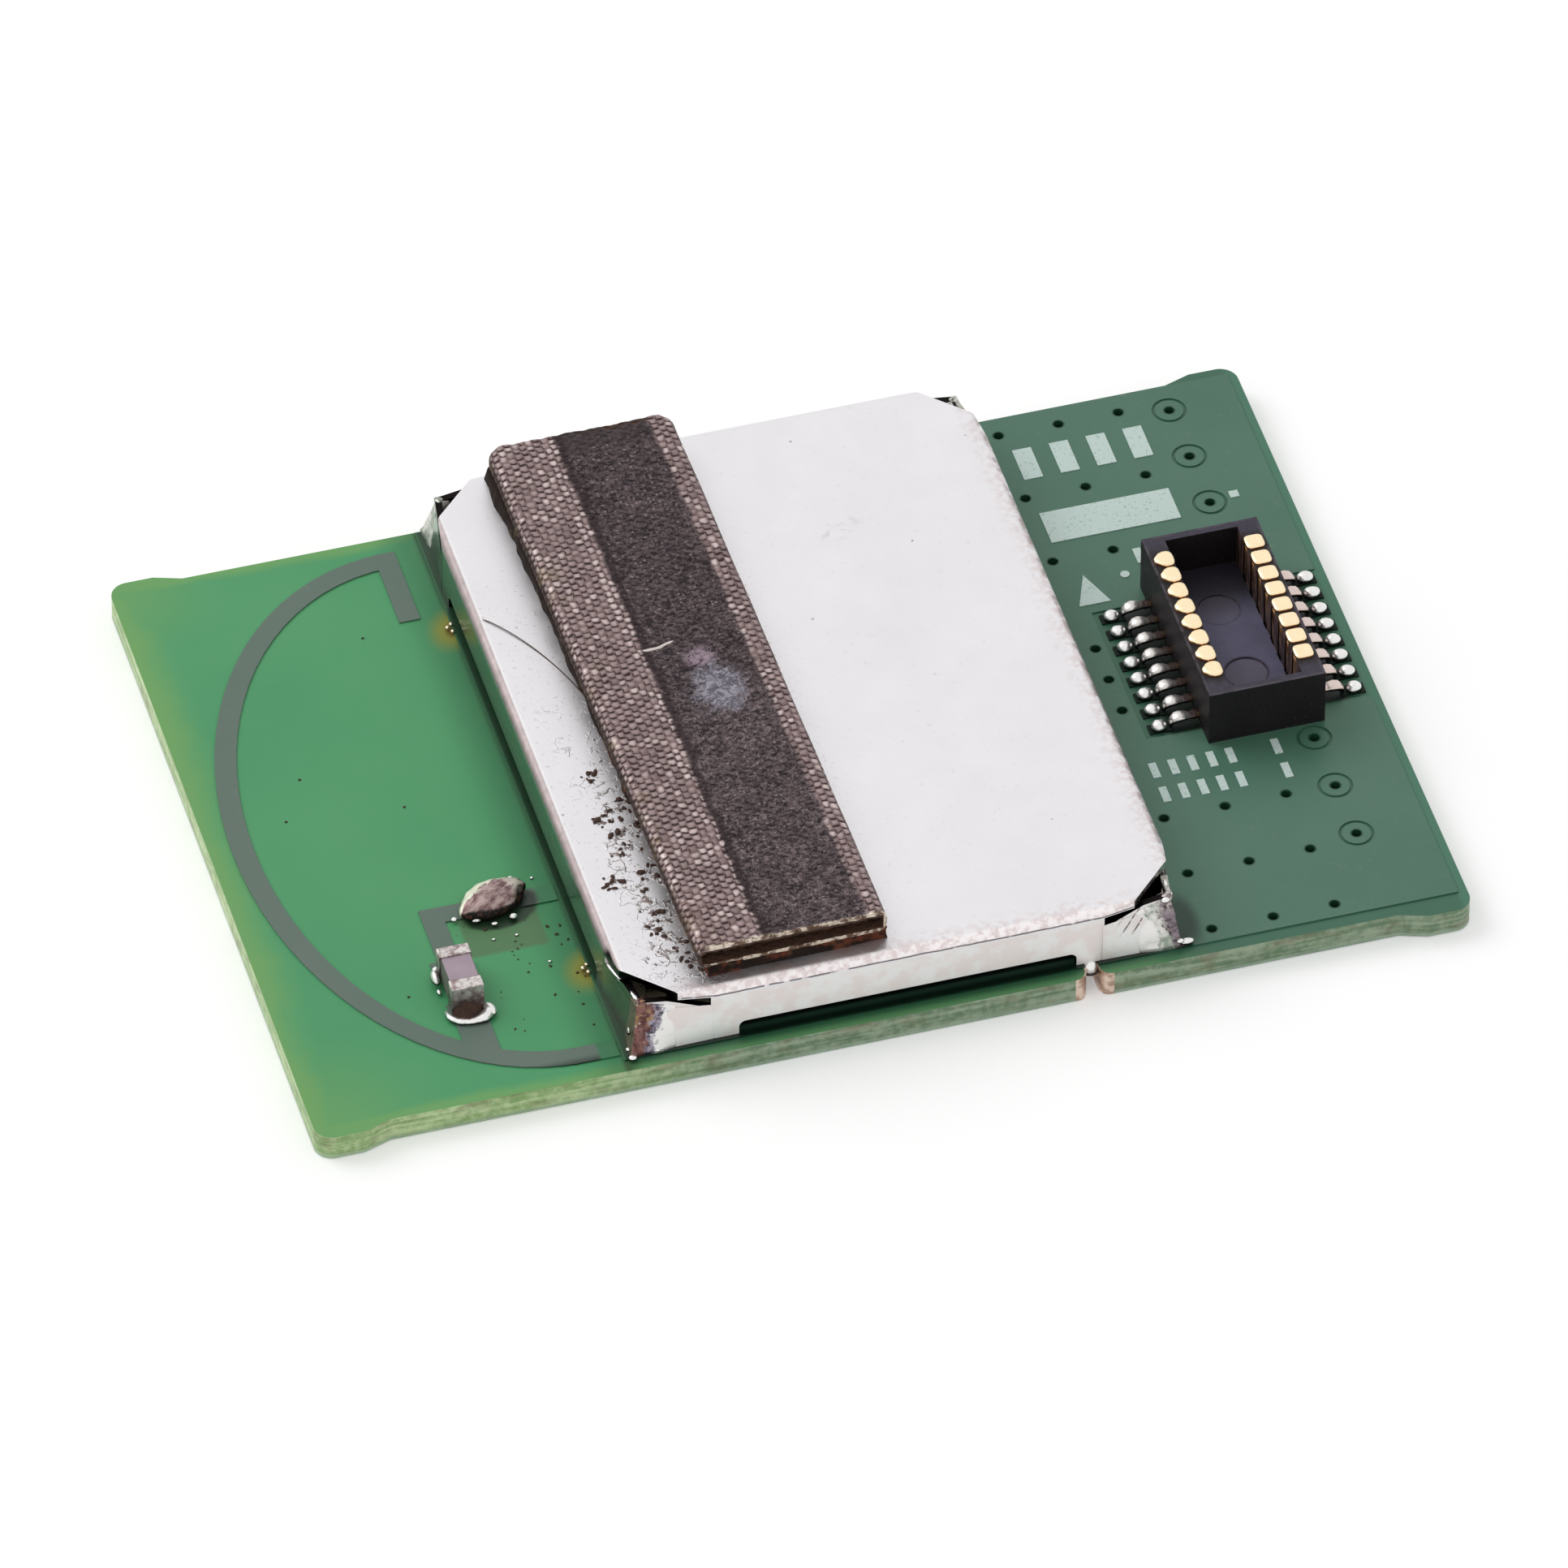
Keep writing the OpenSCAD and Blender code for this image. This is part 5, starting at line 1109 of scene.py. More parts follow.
def bar_section(half_w, half_t, radius, steps):
    """Outline of a bar with round edges: (place, outward direction) from the bottom middle."""
    flat_x, flat_z = half_w - radius, half_t - radius
    n_bottom, n_arc, n_side, n_top = steps
    out = []

    def line(start, end, count, normal):
        for i in range(count):
            t = i / count
            out.append((start[0] + (end[0] - start[0]) * t, start[1] + (end[1] - start[1]) * t,
                        *normal))

    def arc(cx, cz, start):
        for i in range(n_arc):
            angle = math.radians(start + 90 * i / n_arc)
            out.append((cx + radius * math.cos(angle), cz + radius * math.sin(angle),
                        math.cos(angle), math.sin(angle)))

    line((0, -half_t), (flat_x, -half_t), n_bottom, (0, -1))
    arc(flat_x, -flat_z, -90)
    line((half_w, -flat_z), (half_w, flat_z), n_side, (1, 0))
    arc(flat_x, flat_z, 0)
    line((flat_x, half_t), (-flat_x, half_t), n_top, (0, 1))
    arc(-flat_x, flat_z, 90)
    line((-half_w, flat_z), (-half_w, -flat_z), n_side, (-1, 0))
    arc(-flat_x, -flat_z, 180)
    line((-flat_x, -half_t), (0, -half_t), n_bottom, (0, -1))
    return out


def gasket_place(u, v, w, turn=GASKET_TURN):
    """A point of the gasket, from its middle, as a point of the part."""
    cos, sin = math.cos(math.radians(turn)), math.sin(math.radians(turn))
    return (GASKET_MIDDLE.x + u * cos - v * sin, GASKET_MIDDLE.y + u * sin + v * cos,
            GASKET_MIDDLE.z + w)


def weave_height(u, v, w):
    """Height of the cloth from 0 in its gaps to 1 on top of a thread."""
    drop = max(GASKET_HALF_T - WEAVE_CALM - w, 0)
    su = (u + math.copysign(drop, u)) / LUMP_U + 0.5
    sv = v / LUMP_V + 0.5 * (math.floor(su) % 2)
    du, dv = (su % 1 - 0.5) * LUMP_U, (sv % 1 - 0.5) * LUMP_V
    return 1 - math.exp(-(du / HOLE_HALF_U) ** 2 - (dv / HOLE_HALF_V) ** 2)


def worn_strip(u, v):
    """1 in the worn strip along the gasket's top, 0 beside it."""
    left, right = STRIP_LEFT + 0.004 * v, STRIP_RIGHT - 0.006 * v
    return ease(u, left - 0.06, left + 0.06) * ease(right - u, -0.06, 0.06)


def make_gasket(materials):
    steps = (14, 7, 3, 98)
    outer = bar_section(GASKET_HALF_W, GASKET_HALF_T, GASKET_EDGE_R, steps)
    inner = bar_section(GASKET_HALF_W - CLOTH_T, GASKET_HALF_T - CLOTH_T,
                        GASKET_EDGE_R - CLOTH_T, steps)
    count = len(outer)
    rows = 400
    corner = 0.3
    points = []
    for j in range(rows + 1):
        v = -GASKET_HALF_L + 2 * GASKET_HALF_L * j / rows
        from_back = GASKET_HALF_L - v
        from_front = v + GASKET_HALF_L
        pull = 0.0
        if from_back < corner:
            pull = corner - math.sqrt(corner ** 2 - (corner - from_back) ** 2)
        for u, w, nu, nw in outer:
            top = ease(nw, 0.2, 0.9)
            fray = 0.07 * (0.5 + 0.5 * ripple(u, w, 3, 0.13)) * ease(from_front, 0.2, 0)
            sink = (1 - weave_height(u, v, w)) * WEAVE_DEPTH * ease(nw, -1, -0.5)
            worn = worn_strip(u, v) * top
            sink *= 1 - 0.55 * worn
            sink += worn * (0.012 + 0.02 * abs(ripple(u, v, 5, 0.12)))
            sag = top * (0.014 + 0.014 * ripple(u, v, 0, 2.5))
            side = 0.03 * (0.5 + 0.5 * ripple(v, w, 9, 1.6)) * abs(nu)
            back = 0.06 * top * ease(from_back, 0.5, 0) * (1 + ripple(u, 1, 1, 0.5))
            reach = max(abs(u) - (GASKET_HALF_W - corner), 0) / corner
            shift = math.copysign(pull * reach, u)
            points.append(gasket_place(u - nu * (sink + side) - shift, v + fray,
                                       w - nw * sink - sag - back))
    inner_rows = 24
    first_inner = len(points)
    for j in range(inner_rows + 1):
        v = -GASKET_HALF_L + 2 * GASKET_HALF_L * j / inner_rows
        for u, w, nu, nw in inner:
            fray = 0.07 * (0.5 + 0.5 * ripple(u, w, 3, 0.13)) * (j == 0)
            points.append(gasket_place(u * (0.95 if j == inner_rows else 1), v + fray,
                                       w - 0.05 * ease(nw, 0.2, 0.9)))
    faces = []
    for start, number in ((0, rows), (first_inner, inner_rows)):
        for j in range(number):
            for i in range(count):
                k = (i + 1) % count
                a, b = start + j * count, start + (j + 1) * count
                faces.append((a + i, a + k, b + k, b + i))
    for outside, inside in ((0, first_inner),
                            (rows * count, first_inner + inner_rows * count)):
        for i in range(count):
            k = (i + 1) % count
            faces.append((outside + i, outside + k, inside + k, inside + i))
    made = piece("gasket_cover", points, faces, materials["conductive_fabric"],
                 ["gasket_fabric"])
    return made


def lofted_bar(rings):
    """Points and faces of a closed bar through rings of equal numbers of points."""
    count = len(rings[0])
    points = [point for ring in rings for point in ring]
    faces = []
    for j in range(len(rings) - 1):
        for i in range(count):
            k = (i + 1) % count
            a, b = j * count, (j + 1) * count
            faces.append((a + i, a + k, b + k, b + i))
    for j, ring in ((0, rings[0]), (len(rings) - 1, rings[-1])):
        middle = sum((Vector(point) for point in ring), Vector()) / count
        points.append(tuple(middle))
        for i in range(count):
            faces.append((j * count + i, j * count + (i + 1) % count, len(points) - 1))
    return points, faces


def make_foam(materials):
    """Foam inside the cloth, crumbled back from both open ends."""
    half_w, half_t = GASKET_HALF_W - CLOTH_T - 0.02, GASKET_HALF_T - CLOTH_T - 0.03
    section = bar_section(half_w, half_t, 0.09, (20, 3, 4, 40))
    rings = []
    for j in range(41):
        along = -1 + 2 * j / 40
        reach = GASKET_HALF_L - 0.28
        ring = []
        for u, w, _, _ in section:
            v = along * reach
            if j in (0, 40):
                v -= along * 0.16 * abs(ripple(u, w, 2, 0.35))
            ring.append(gasket_place(u, v, w - 0.03))
        rings.append(ring)
    points, faces = lofted_bar(rings)
    made = piece("gasket_core", points, faces, materials["foam"], ["gasket_foam"])


def make_adhesive(materials):
    """Strip of glue under the gasket, squeezed out unevenly on its antenna side."""
    low, high = LID_TOP, FABRIC_LOW.z + 0.02
    rings = []
    half_l, half_w = 7.92, 1.97
    count = 220
    section = [(-1, 0.0), (-1, 0.35), (-1, 0.7), (-1, 1.0), (-0.5, 1.0), (0, 1.0), (0.5, 1.0),
               (1, 1.0), (1, 0.7), (1, 0.35), (1, 0.0), (0.5, 0.0), (0, 0.0), (-0.5, 0.0)]
    for j in range(count + 1):
        v = -half_l + 2 * half_l * j / count
        ring = []
        for side, level in section:
            edge = half_w * side
            if side < -0.9:
                edge -= 0.05 * ripple(v, level, 1, 0.3) + 0.06 * ripple(v, level, 4, 1.1)
                edge -= 0.1 * math.exp(-((v + 2.1) / 0.25) ** 2) * (1 - level * 0.6)
                edge += 0.06 * ease(level, 0.5, 1.0)
            if side > 0.9:
                edge -= 0.06 + 0.05 * ripple(v, level, 7, 0.6)
            end = 0.0
            if j in (0, count):
                end = 0.05 * ripple(edge, level, 2, 0.4) * (-1 if j else 1)
            ring.append(gasket_place(edge, v + end, low + (high - low) * level - GASKET_MIDDLE.z,
                                     ADHESIVE_TURN))
        rings.append(ring)
    points, faces = lofted_bar(rings)
    piece("gasket_glue", points, faces, materials["adhesive"], ["gasket_adhesive"])


def blob(centre, half, turn=0.0, lumps=0.1, grain=0.4, flat=0.0, tilt=(0, 0), seed=0,
         rings=14, sectors=36, lens=0.0):
    """A closed drop: an uneven ellipsoid, cut flat below flat times its half height."""
    cos, sin = math.cos(math.radians(turn)), math.sin(math.radians(turn))
    points, faces = [], []

    def put(direct):
        x, y, z = (direct[i] * half[i] for i in range(3))
        swell = 1 + lumps * ripple(x + seed * 7.3, y, z, grain) \
            + 0.4 * lumps * ripple(x, y + seed * 3.1, z, grain * 0.4)
        x, y, z = x * swell, y * swell * (1 - lens * direct[0] ** 2), z * swell
        z = max(z, -flat * half[2])
        x, y = x + tilt[0] * z, y + tilt[1] * z
        points.append((centre[0] + x * cos - y * sin, centre[1] + x * sin + y * cos,
                       centre[2] + z))

    put((0, 0, -1))
    for i in range(1, rings):
        polar = math.pi * i / rings
        for k in range(sectors):
            angle = 2 * math.pi * k / sectors
            put((math.sin(polar) * math.cos(angle), math.sin(polar) * math.sin(angle),
                 -math.cos(polar)))
    put((0, 0, 1))
    last = len(points) - 1
    for k in range(sectors):
        n = (k + 1) % sectors
        faces.append((0, 1 + n, 1 + k))
        for i in range(rings - 2):
            a, b = 1 + i * sectors, 1 + (i + 1) * sectors
            faces.append((a + k, a + n, b + n, b + k))
        start = 1 + (rings - 2) * sectors
        faces.append((start + k, start + n, last))
    return points, faces


def gather(parts):
    """One mesh's points and faces from several."""
    points, faces = [], []
    for new_points, new_faces in parts:
        base = len(points)
        points += new_points
        faces += [tuple(index + base for index in face) for face in new_faces]
    return points, faces


def corner_frame(sx, sy):
    """A can corner: its place, and the directions along and out of its two leaning walls."""
    centre = (CAN_LOW + CAN_HIGH) / 2
    corner = Vector((sx * ((CAN_HIGH.x - CAN_LOW.x) / 2 - FLAP_IN) + centre.x,
                     (CAN_FRONT if sy < 0 else CAN_HIGH.y) - sy * FLAP_IN, 0))
    straight = FLAP_L - FLAP_IN
    along = {1: Vector((-sx * straight, sy * FLAP_IN, 0)).normalized(),
             -1: Vector((sx * FLAP_IN, -sy * straight, 0)).normalized()}
    out = {1: Vector((sx * FLAP_IN, sy * straight, 0)).normalized(),
           -1: Vector((sx * straight, sy * FLAP_IN, 0)).normalized()}
    return corner, along, out


def foot_reach(sx, side):
    """How far a leaning wall end's foot stands out, as measured at the front corners."""
    if side > 0:
        return FLAP_IN * 1.1
    return FLAP_IN * (0.35 if sx > 0 else 0.55)


def wall_foot(sx, sy, side):
    """Lower part of a leaning wall end, whose foot stays near the can's outline."""
    corner, along, out = corner_frame(sx, sy)
    rings = []
    for j in range(13):
        run = (FLAP_L - FLAP_IN) * j / 12 * 0.98
        reach = foot_reach(sx, side) * (1 - run / (FLAP_L - FLAP_IN))
        base = corner + along[side] * run
        ring = [base - out[side] * 0.03 + Vector((0, 0, COPPER_TOP))]
        for i in range(9):
            t = i / 8
            z = COPPER_TOP + (FLAP_TOP - 0.2 - COPPER_TOP) * t
            ring.append(base + out[side] * (reach * (1 - t) + 0.004) + Vector((0, 0, z)))
        ring.append(base - out[side] * 0.03 + Vector((0, 0, FLAP_TOP - 0.2)))
        rings.append([tuple(point) for point in ring])
    return lofted_bar(rings)


def corner_wrap(sx, sy, reach_x, reach_y, thick, seed):
    """Solder that wraps a corner seam of the can, over the ends of both leaning walls.

    sx, sy are the corner's signs. reach_x goes along the front or back wall, reach_y
    along the wall at the can's side.
    """
    corner, along, out = corner_frame(sx, sy)
    rings = []
    for j in range(57):
        s = -1 + j / 28
        side = 1 if s > 0 else -1
        run = abs(s) * (reach_x if side > 0 else reach_y)
        normal = out[-1].lerp(out[1], ease(s, -0.22, 0.22)).normalized()
        base = corner + along[side] * run
        level = (1 - abs(s) ** 2.6) ** 0.6 if abs(s) < 1 else 0
        top = FLAP_TOP - 0.156 * run - 0.03 + 0.04 * level
        lean = (foot_reach(sx, side) * out[side] * (1 - run / (FLAP_L - FLAP_IN))
                + foot_reach(sx, -side) * out[-side] * ease(abs(s), 0.22, 0))
        ring = []
        for i in range(17):
            t = i / 16
            z = COPPER_TOP + (top - COPPER_TOP) * t
            swell = thick * (0.75 + 0.8 * ripple(s * 0.8, z, seed * 3.3, 0.3)) * level
            flare = 0.04 * ease(t, 0.12, 0) * ease(abs(s), 1, 0.4)
            ring.append(base + lean * max(1 - t / 0.84, 0) + normal * (swell + flare + 0.006)
                        + Vector((0, 0, z)))
        inner = -SHEET_T + 0.02 - 0.05 * level
        ring.append(base + normal * inner * 0.4 + Vector((0, 0, top + 0.02 * level)))
        ring.append(base + normal * inner + Vector((0, 0, top)))
        ring.append(base + normal * inner + Vector((0, 0, COPPER_TOP)))
        rings.append([tuple(point) for point in ring])
    return lofted_bar(rings)


def make_shield_solder(materials):
    feet = [wall_foot(sx, sy, side) for sx in (-1, 1) for sy in (-1, 1) for side in (-1, 1)]
    points, faces = gather(feet)
    piece("wall_feet", points, faces, materials["can_sheet"], smooth=False)
    parts = [corner_wrap(-1, -1, 0.8, 0.3, 0.03, 1), corner_wrap(1, -1, 0.8, 0.35, 0.03, 2),
             corner_wrap(1, 1, 0.3, 0.3, 0.012, 3), corner_wrap(-1, 1, 0.3, 0.3, 0.012, 4)]
    points, faces = gather(parts)
    piece("corner_solder", points, faces, materials["burnt_solder"],
          ["shield_solder"])
    front_left = Vector((CAN_LOW.x + FLAP_IN, CAN_FRONT + FLAP_IN, COPPER_TOP))
    front_right = Vector((CAN_HIGH.x - FLAP_IN, CAN_FRONT + FLAP_IN, COPPER_TOP))
    drops = [
        (front_left, (-0.2, -0.4, 0.03), (0.1, 0.08, 0.08)),
        (front_left, (-0.27, -0.25, 0.14), (0.05, 0.05, 0.07)),
        (front_left, (-0.2, -0.06, 0.42), (0.045, 0.05, 0.2)),
        (front_left, (0.35, -0.33, 0.03), (0.06, 0.04, 0.05)),
        (front_right, (0.28, -0.3, 0.05), (0.15, 0.08, 0.09)),
        (front_right, (0.12, -0.34, 0.14), (0.08, 0.06, 0.07)),
        (front_right, (-0.14, -0.08, 1.14), (0.1, 0.07, 0.09)),
        (front_right, (0.0, 0.42, 1.15), (0.045, 0.12, 0.06)),
        (front_right, (0.02, 0.14, 1.12), (0.05, 0.09, 0.05)),
        (front_right, (0.06, 0.9, 1.12), (0.03, 0.2, 0.04)),
    ]
    beads = [blob(tuple(corner + Vector(shift)), half, lumps=0.2, seed=i + 1, rings=10,
                  sectors=18) for i, (corner, shift, half) in enumerate(drops)]
    beads.append(blob((NOTCH_X, CAN_FRONT - 0.05, COPPER_TOP - 0.2), (0.17, 0.15, 0.3),
                      seed=8, rings=12, sectors=20))
    # Bright upper rim of the leaning wall by the front left corner
    corner, along, out = corner_frame(-1, -1)
    path, sizes = [], []
    for j in range(22):
        run = 0.1 + (FLAP_L - FLAP_IN - 0.15) * j / 21
        wave = ripple(run, 0, 7, 0.2)
        path.append(tuple(corner + along[-1] * run + out[-1] * (0.006 * wave - 0.05)
                          + Vector((0, 0, FLAP_TOP - 0.156 * run + 0.01))))
        size = (0.05 + 0.014 * wave) * (0.4 if j in (0, 21) else 1)
        sizes.append((size, size))
    beads.append(swept(path, sizes))
    points, faces = gather(beads)
    piece("corner_drops", points, faces, materials["bead_tin"])


def make_bridge(materials):
    half = (BRIDGE_HIGH - BRIDGE_LOW) / 2
    place = (BRIDGE_MIDDLE.x, BRIDGE_MIDDLE.y, COPPER_TOP + half.z * 0.75)
    points, faces = blob(place, (half.x * 1.02, half.y * 0.9, half.z * 1.22), 14, 0.14, 0.5, 0.6,
                         (0, 0.3), 11, 28, 64, 0.35)
    piece("bridge_drop", points, faces, materials["burnt_solder"], ["bridge_solder"])
    beads = [blob((BRIDGE_MIDDLE.x + x, BRIDGE_MIDDLE.y + y, COPPER_TOP + 0.04), size, seed=i + 12,
                  rings=10, sectors=18)
             for i, (x, y, size) in enumerate((
                 (-0.9, -0.27, (0.07, 0.06, 0.06)), (-0.46, -0.42, (0.1, 0.06, 0.07)),
                 (0.31, -0.52, (0.1, 0.08, 0.09)), (-0.12, -0.6, (0.07, 0.05, 0.03)),
                 (0.55, 0.62, (0.06, 0.04, 0.04))))]
    points, faces = gather(beads)
    piece("bridge_beads", points, faces, materials["bead_tin"])


def pillow(centre, half, square=0.5, dimple=0.0, point=0.0, rings=10, sectors=24):
    """A closed pad with round corners. point draws its end on the +x side to a tip."""
    def soften(value):
        return math.copysign(abs(value) ** square, value)

    points, faces = [], []
    for i in range(rings + 1):
        polar = math.pi * i / rings
        if i in (0, rings):
            level = -1 if i == 0 else 1
            points.append((centre[0], centre[1], centre[2] + half[2] * level
                           - (dimple if i else 0)))
            continue
        for k in range(sectors):
            angle = 2 * math.pi * k / sectors
            radius = soften(math.sin(polar))
            x, y = soften(math.cos(angle)) * radius, soften(math.sin(angle)) * radius
            z = soften(-math.cos(polar))
            y *= 1 - point * ease(x, 0.1, 0.9)
            sink = dimple * math.exp(-(x * x + y * y) / 0.05) if z > 0 else 0
            points.append((centre[0] + x * half[0], centre[1] + y * half[1],
                           centre[2] + z * half[2] - sink))
    last = len(points) - 1
    for k in range(sectors):
        n = (k + 1) % sectors
        faces.append((0, 1 + n, 1 + k))
        for i in range(rings - 2):
            a, b = 1 + i * sectors, 1 + (i + 1) * sectors
            faces.append((a + k, a + n, b + n, b + k))
        start = 1 + (rings - 2) * sectors
        faces.append((start + k, start + n, last))
    return points, faces


def strip_along(path, side, centre):
    """A flat strip with round edges along (distance out, height, width, thickness) stations."""
    sectors = 14
    rings = []
    for i, (away, height, width, thick) in enumerate(path):
        before, after = path[max(i - 1, 0)], path[min(i + 1, len(path) - 1)]
        run, climb = after[0] - before[0], after[1] - before[1]
        length = math.hypot(run, climb)
        lean_x, lean_z = -climb / length, run / length
        ring = []
        for k in range(sectors):
            angle = 2 * math.pi * k / sectors
            across = math.copysign(abs(math.cos(angle)) ** 0.7, math.cos(angle)) * width / 2
            over = math.copysign(abs(math.sin(angle)) ** 0.8, math.sin(angle)) * thick / 2
            ring.append((centre[0] + side * (away + lean_x * over), centre[1] + across,
                         centre[2] + height + lean_z * over))
        rings.append(ring)
    return lofted_bar(rings)


def make_contacts(materials):
    middle = (HOUSING_LOW + HOUSING_HIGH) / 2
    rim = HOUSING_HIGH.z - COPPER_TOP
    wall_in, wall_out = 0.8, (HOUSING_HIGH.x - HOUSING_LOW.x) / 2
    tip = wall_out + 1.0
    leg = [(wall_in + 0.03, 0.2, 0.2, 0.1), (wall_out, 0.2, 0.2, 0.1),
           (wall_out + 0.12, 0.21, 0.25, 0.15), (wall_out + 0.22, 0.2, 0.2, 0.1),
           (wall_out + 0.3, 0.215, 0.25, 0.15), (wall_out + 0.42, 0.22, 0.29, 0.17),
           (wall_out + 0.51, 0.2, 0.28, 0.16), (wall_out + 0.58, 0.14, 0.22, 0.12),
           (wall_out + 0.62, 0.06, 0.16, 0.07), (wall_out + 0.64, 0.03, 0.12, 0.04)]
    strip = [(wall_in + 0.045, 0.26, 0.2, 0.07), (wall_in + 0.045, 0.8, 0.2, 0.07),
             (wall_in + 0.045, rim - 0.05, 0.24, 0.07)]
    for side, row in ((-1, "inboard"), (1, "outboard")):
        metal, beads = [], []
        for index in range(8):
            y = middle.y + 0.5 * (3.5 - index)
            base = (middle.x, y, COPPER_TOP)
            metal.append(strip_along(leg, side, base))
            metal.append(strip_along(strip, side, base))
            head = (middle.x + side * (wall_in + 0.2), y, COPPER_TOP + rim + 0.005)
            if side < 0:
                metal.append(pillow(head, (-0.22, 0.232, 0.08), 0.6, 0.0, 0.5))
            else:
                metal.append(pillow(head, (0.21, 0.205, 0.07), 0.5, 0.03))
            wobble = ripple(index * 1.7, side, 0.5)
            beads.append(blob((middle.x + side * (tip - 0.13), y + 0.012 * wobble,
                               COPPER_TOP + 0.06), (0.18 + 0.015 * wobble, 0.155, 0.13),
                              lumps=0.08, grain=0.2, flat=0.45, seed=index + 1,
                              rings=12, sectors=22))
        points, faces = gather(metal)
        piece("contact_row_" + row, points, faces, materials["contact_gold"],
              ["connector_contacts_" + row])
        points, faces = gather(beads)
        piece("contact_beads_" + row, points, faces, materials["bead_tin"],
              ["connector_solder"])


def swept(path, sizes):
    """Points and faces of a round bar through the path, (width, height) at each point."""
    rings = []
    for i, (point, (width, height)) in enumerate(zip(path, sizes)):
        before = Vector(path[max(i - 1, 0)])
        after = Vector(path[min(i + 1, len(path) - 1)])
        side = (after - before).cross(Vector((0, 0, 1))).normalized()
        rings.append([tuple(Vector(point) + side * math.cos(a) * width
                            + Vector((0, 0, math.sin(a) * height)))
                      for a in [2 * math.pi * k / 14 for k in range(14)]])
    return lofted_bar(rings)


def make_capacitor_solder(materials):
    """Hollow fillets: a bright horseshoe of solder round the dark foot of each end; the dark foot is
    a piece of painted shade.
    """
    middle = (CAP_LOW + CAP_HIGH) / 2
    half_w = (CAP_HIGH.x - CAP_LOW.x) / 2
    bright, shaded_hollow = [], []
    for end, reach, spread in ((-1, 0.4, 0.47), (1, 0.13, 0.4)):
        face = CAP_LOW.y if end < 0 else CAP_HIGH.y
        path, sizes = [], []
        for j in range(25):
            s = -1 + j / 12
            bow = math.sqrt(max(1 - abs(s) ** 2.4, 0))
            path.append((middle.x + s * spread + 0.02 * ripple(s, end, 3, 0.3),
                         face + end * (reach * bow - 0.05) + 0.02 * ripple(s, end, 7, 0.3),
                         COPPER_TOP + 0.05))
            swell = ease(s, -0.2, 0.8) * ease(s, 1.15, 0.75)
            size = (0.075 + 0.06 * swell) * (1 + 0.25 * ripple(s, end, 5, 0.2))
            if j in (0, 24):
                size *= 0.5
            sizes.append((size, size * 0.9))
        bright.append(swept(path, sizes))
        # The dark foot: a piece of painted shade in the fillet's hollow, in the dirt material
        rings = []
        for j in range(17):
            s = -1 + j / 8
            bow = math.sqrt(max(1 - s * s, 0.01))
            ring = []
            for i in range(7):
                t = i / 6
                out = reach * 0.8 * bow * (1 - math.cos(t * math.pi / 2))
                climb = 0.36 * bow * (1 - math.sin(t * math.pi / 2))
                ring.append((middle.x + s * half_w, face + end * (out - 0.01),
                             COPPER_TOP + 0.01 + climb))
            ring.append((middle.x + s * half_w, face - end * 0.02, COPPER_TOP))
            rings.append(ring)
        shaded_hollow.append(lofted_bar(rings))
    bright.append(blob((CAP_LOW.x - 0.1, CAP_HIGH.y - 0.3, COPPER_TOP + 0.12),
                       (0.1, 0.22, 0.17), seed=3, rings=12, sectors=22))
    bright.append(blob((CAP_LOW.x - 0.1, CAP_HIGH.y - 0.62, COPPER_TOP + 0.03),
                       (0.05, 0.08, 0.06), seed=4, rings=8, sectors=14))
    bright.append(blob((middle.x + 0.43, CAP_LOW.y - 0.13, COPPER_TOP + 0.07),
                       (0.13, 0.19, 0.12), 20, seed=6, rings=12, sectors=22))
    points, faces = gather(bright)
    piece("capacitor_solder", points, faces, materials["bead_tin"],
          ["matching_capacitor_solder"])
    points, faces = gather(shaded_hollow)
    piece("capacitor_fillet_shade", points, faces, materials["dirt"])


def make_specks(materials):
    """Crumbs of flux and dirt on the lid and board, and bright and golden specks."""
    chance = random.Random(7)
    crumbs = []
    for _ in range(90):
        x, y, size = chance.choice(DIRT_SPOTS)
        r = size * math.sqrt(chance.random())
        angle = chance.uniform(0, 2 * math.pi)
        grain = chance.uniform(0.02, 0.06)
        place = (x + r * math.cos(angle), y + r * math.sin(angle), LID_TOP + grain * 0.3)
        crumbs.append(blob(place, (grain * chance.uniform(1, 2.2), grain, grain * 0.6),
                           chance.uniform(0, 180), 0.4, 0.05, 0.8, rings=6, sectors=9))
    for _ in range(26):
        x = BRIDGE_MIDDLE.x + chance.uniform(-1.0, 1.3)
        y = BRIDGE_MIDDLE.y - chance.uniform(0.5, 4.0)
        grain = chance.uniform(0.012, 0.035)
        crumbs.append(blob((x, y, BOARD_TOP + grain * 0.3), (grain * 1.4, grain, grain * 0.7),
                           chance.uniform(0, 180), 0.3, 0.05, 0.8, rings=6, sectors=9))
    for x, y in ((-10.7, 0.65), (-10.1, 1.8), (-8.2, 0.4), (-9.6, -5.1), (-7.7, 5.6)):
        crumbs.append(blob((x, y, BOARD_TOP + 0.01), (0.035, 0.025, 0.02), rings=6, sectors=9))
    points, faces = gather(crumbs)
    piece("crumbs", points, faces, materials["dirt"])
    shiny = []
    for y in GOLD_SPOT_Y:
        for dx, dy in ((-0.2, 0.02), (-0.12, -0.12), (-0.1, 0.1)):
            shiny.append(blob((CAN_LOW.x + dx, y + dy, BOARD_TOP + 0.06), (0.05, 0.045, 0.04),
                              rings=8, sectors=14, seed=dy * 10))
    points, faces = gather(shiny)
    piece("gold_specks", points, faces, materials["gold_plate"])
    bright = []
    for x, y in ((-6.95, -3.95), (-6.2, -2.4), (-7.45, -3.95), (-6.5, -4.9)):
        bright.append(blob((x, y, BOARD_TOP + 0.015), (0.045, 0.03, 0.03), rings=6, sectors=10))
    points, faces = gather(bright)
    piece("bright_specks", points, faces, materials["bead_tin"])


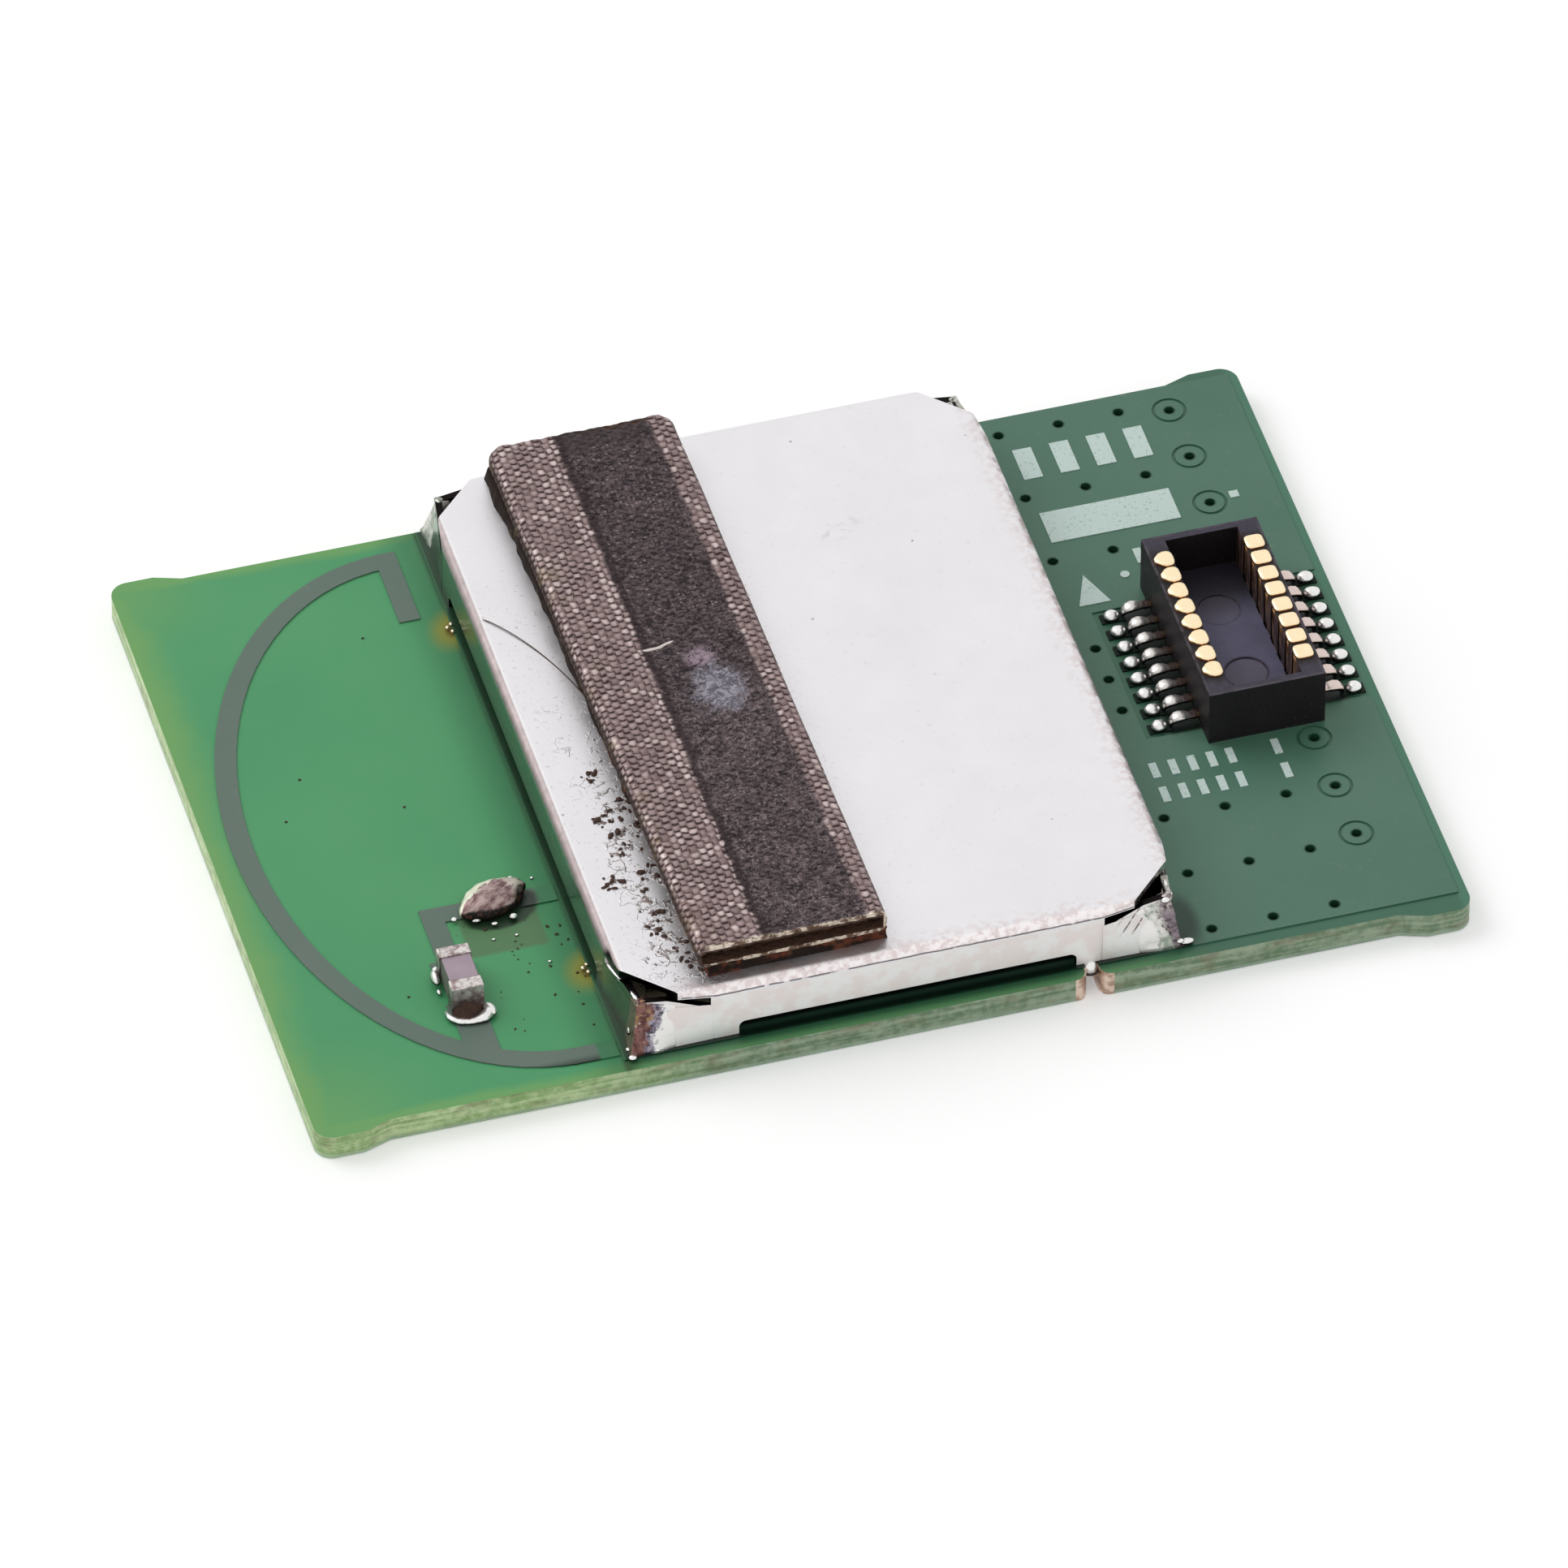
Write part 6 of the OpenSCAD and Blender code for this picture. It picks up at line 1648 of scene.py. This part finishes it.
def thread(name, path, radius, material):
    """A thin closed fibre through the given points."""
    rings = []
    for i, point in enumerate(path):
        before = Vector(path[max(i - 1, 0)])
        after = Vector(path[min(i + 1, len(path) - 1)])
        ahead = (after - before).normalized()
        side = ahead.cross(Vector((0, 0, 1))).normalized()
        up = side.cross(ahead)
        taper = 0.4 if i in (0, len(path) - 1) else 1
        rings.append([tuple(Vector(point) + (side * math.cos(a) + up * math.sin(a))
                            * radius * taper) for a in
                      [2 * math.pi * k / 7 for k in range(7)]])
    points, faces = lofted_bar(rings)
    piece(name, points, faces, material)


def make_fibres(materials):
    top = FABRIC_HIGH.z - 0.07
    lint = []
    for i in range(15):
        t = i / 14
        lint.append((-2.78 + 0.8 * t, 1.33 + 0.12 * ease(t, 0.4, 0.9), top + 0.01 * math.sin(5 * t)))
    thread("lint", lint, 0.055, materials["fibre"])
    hair = []
    for i in range(31):
        t = i / 30
        hair.append((-5.5 + 1.35 * t + 0.22 * math.sin(2.6 * t), 4.0 - 2.9 * t ** 1.15,
                     LID_TOP + 0.016 + 0.008 * math.sin(7 * t)))
    thread("hair", hair, 0.011, materials["dirt"])


def soften_edges():
    """Small roundings on sharp moulded and fired parts."""
    for name, width in (("connector_housing", 0.05), ("matching_capacitor", 0.04),
                        ("matching_capacitor_terminals", 0.06)):
        weld = NODES[name].modifiers.new("weld", "WELD")
        weld.merge_threshold = 0.002 * MM
        bevel = NODES[name].modifiers.new("bevel", "BEVEL")
        bevel.width = width * MM
        bevel.segments = 3
        bevel.limit_method = "ANGLE"
        bevel.angle_limit = math.radians(40)


def make_pieces(materials):
    make_gasket(materials)
    make_foam(materials)
    make_adhesive(materials)
    make_shield_solder(materials)
    make_bridge(materials)
    make_capacitor_solder(materials)
    make_contacts(materials)
    make_specks(materials)
    make_fibres(materials)
    soften_edges()


# Nodes whose look differs from their slot's usual one
DRESS = {
    "antenna_trace": "trace_copper", "matching_trace": "trace_copper",
    "feed_trace": "trace_copper", "connector_pads": "shaded_copper",
}


def dress_nodes(materials):
    for part in frame["record"]["subparts"]:
        name = part["node"]
        slot = DRESS.get(name, part["material_slot"])
        mesh = NODES[name].data
        mesh.materials.clear()
        mesh.materials.append(materials[slot])


def main():
    add_stage()
    materials = make_materials()
    dress_nodes(materials)
    make_pieces(materials)


main()
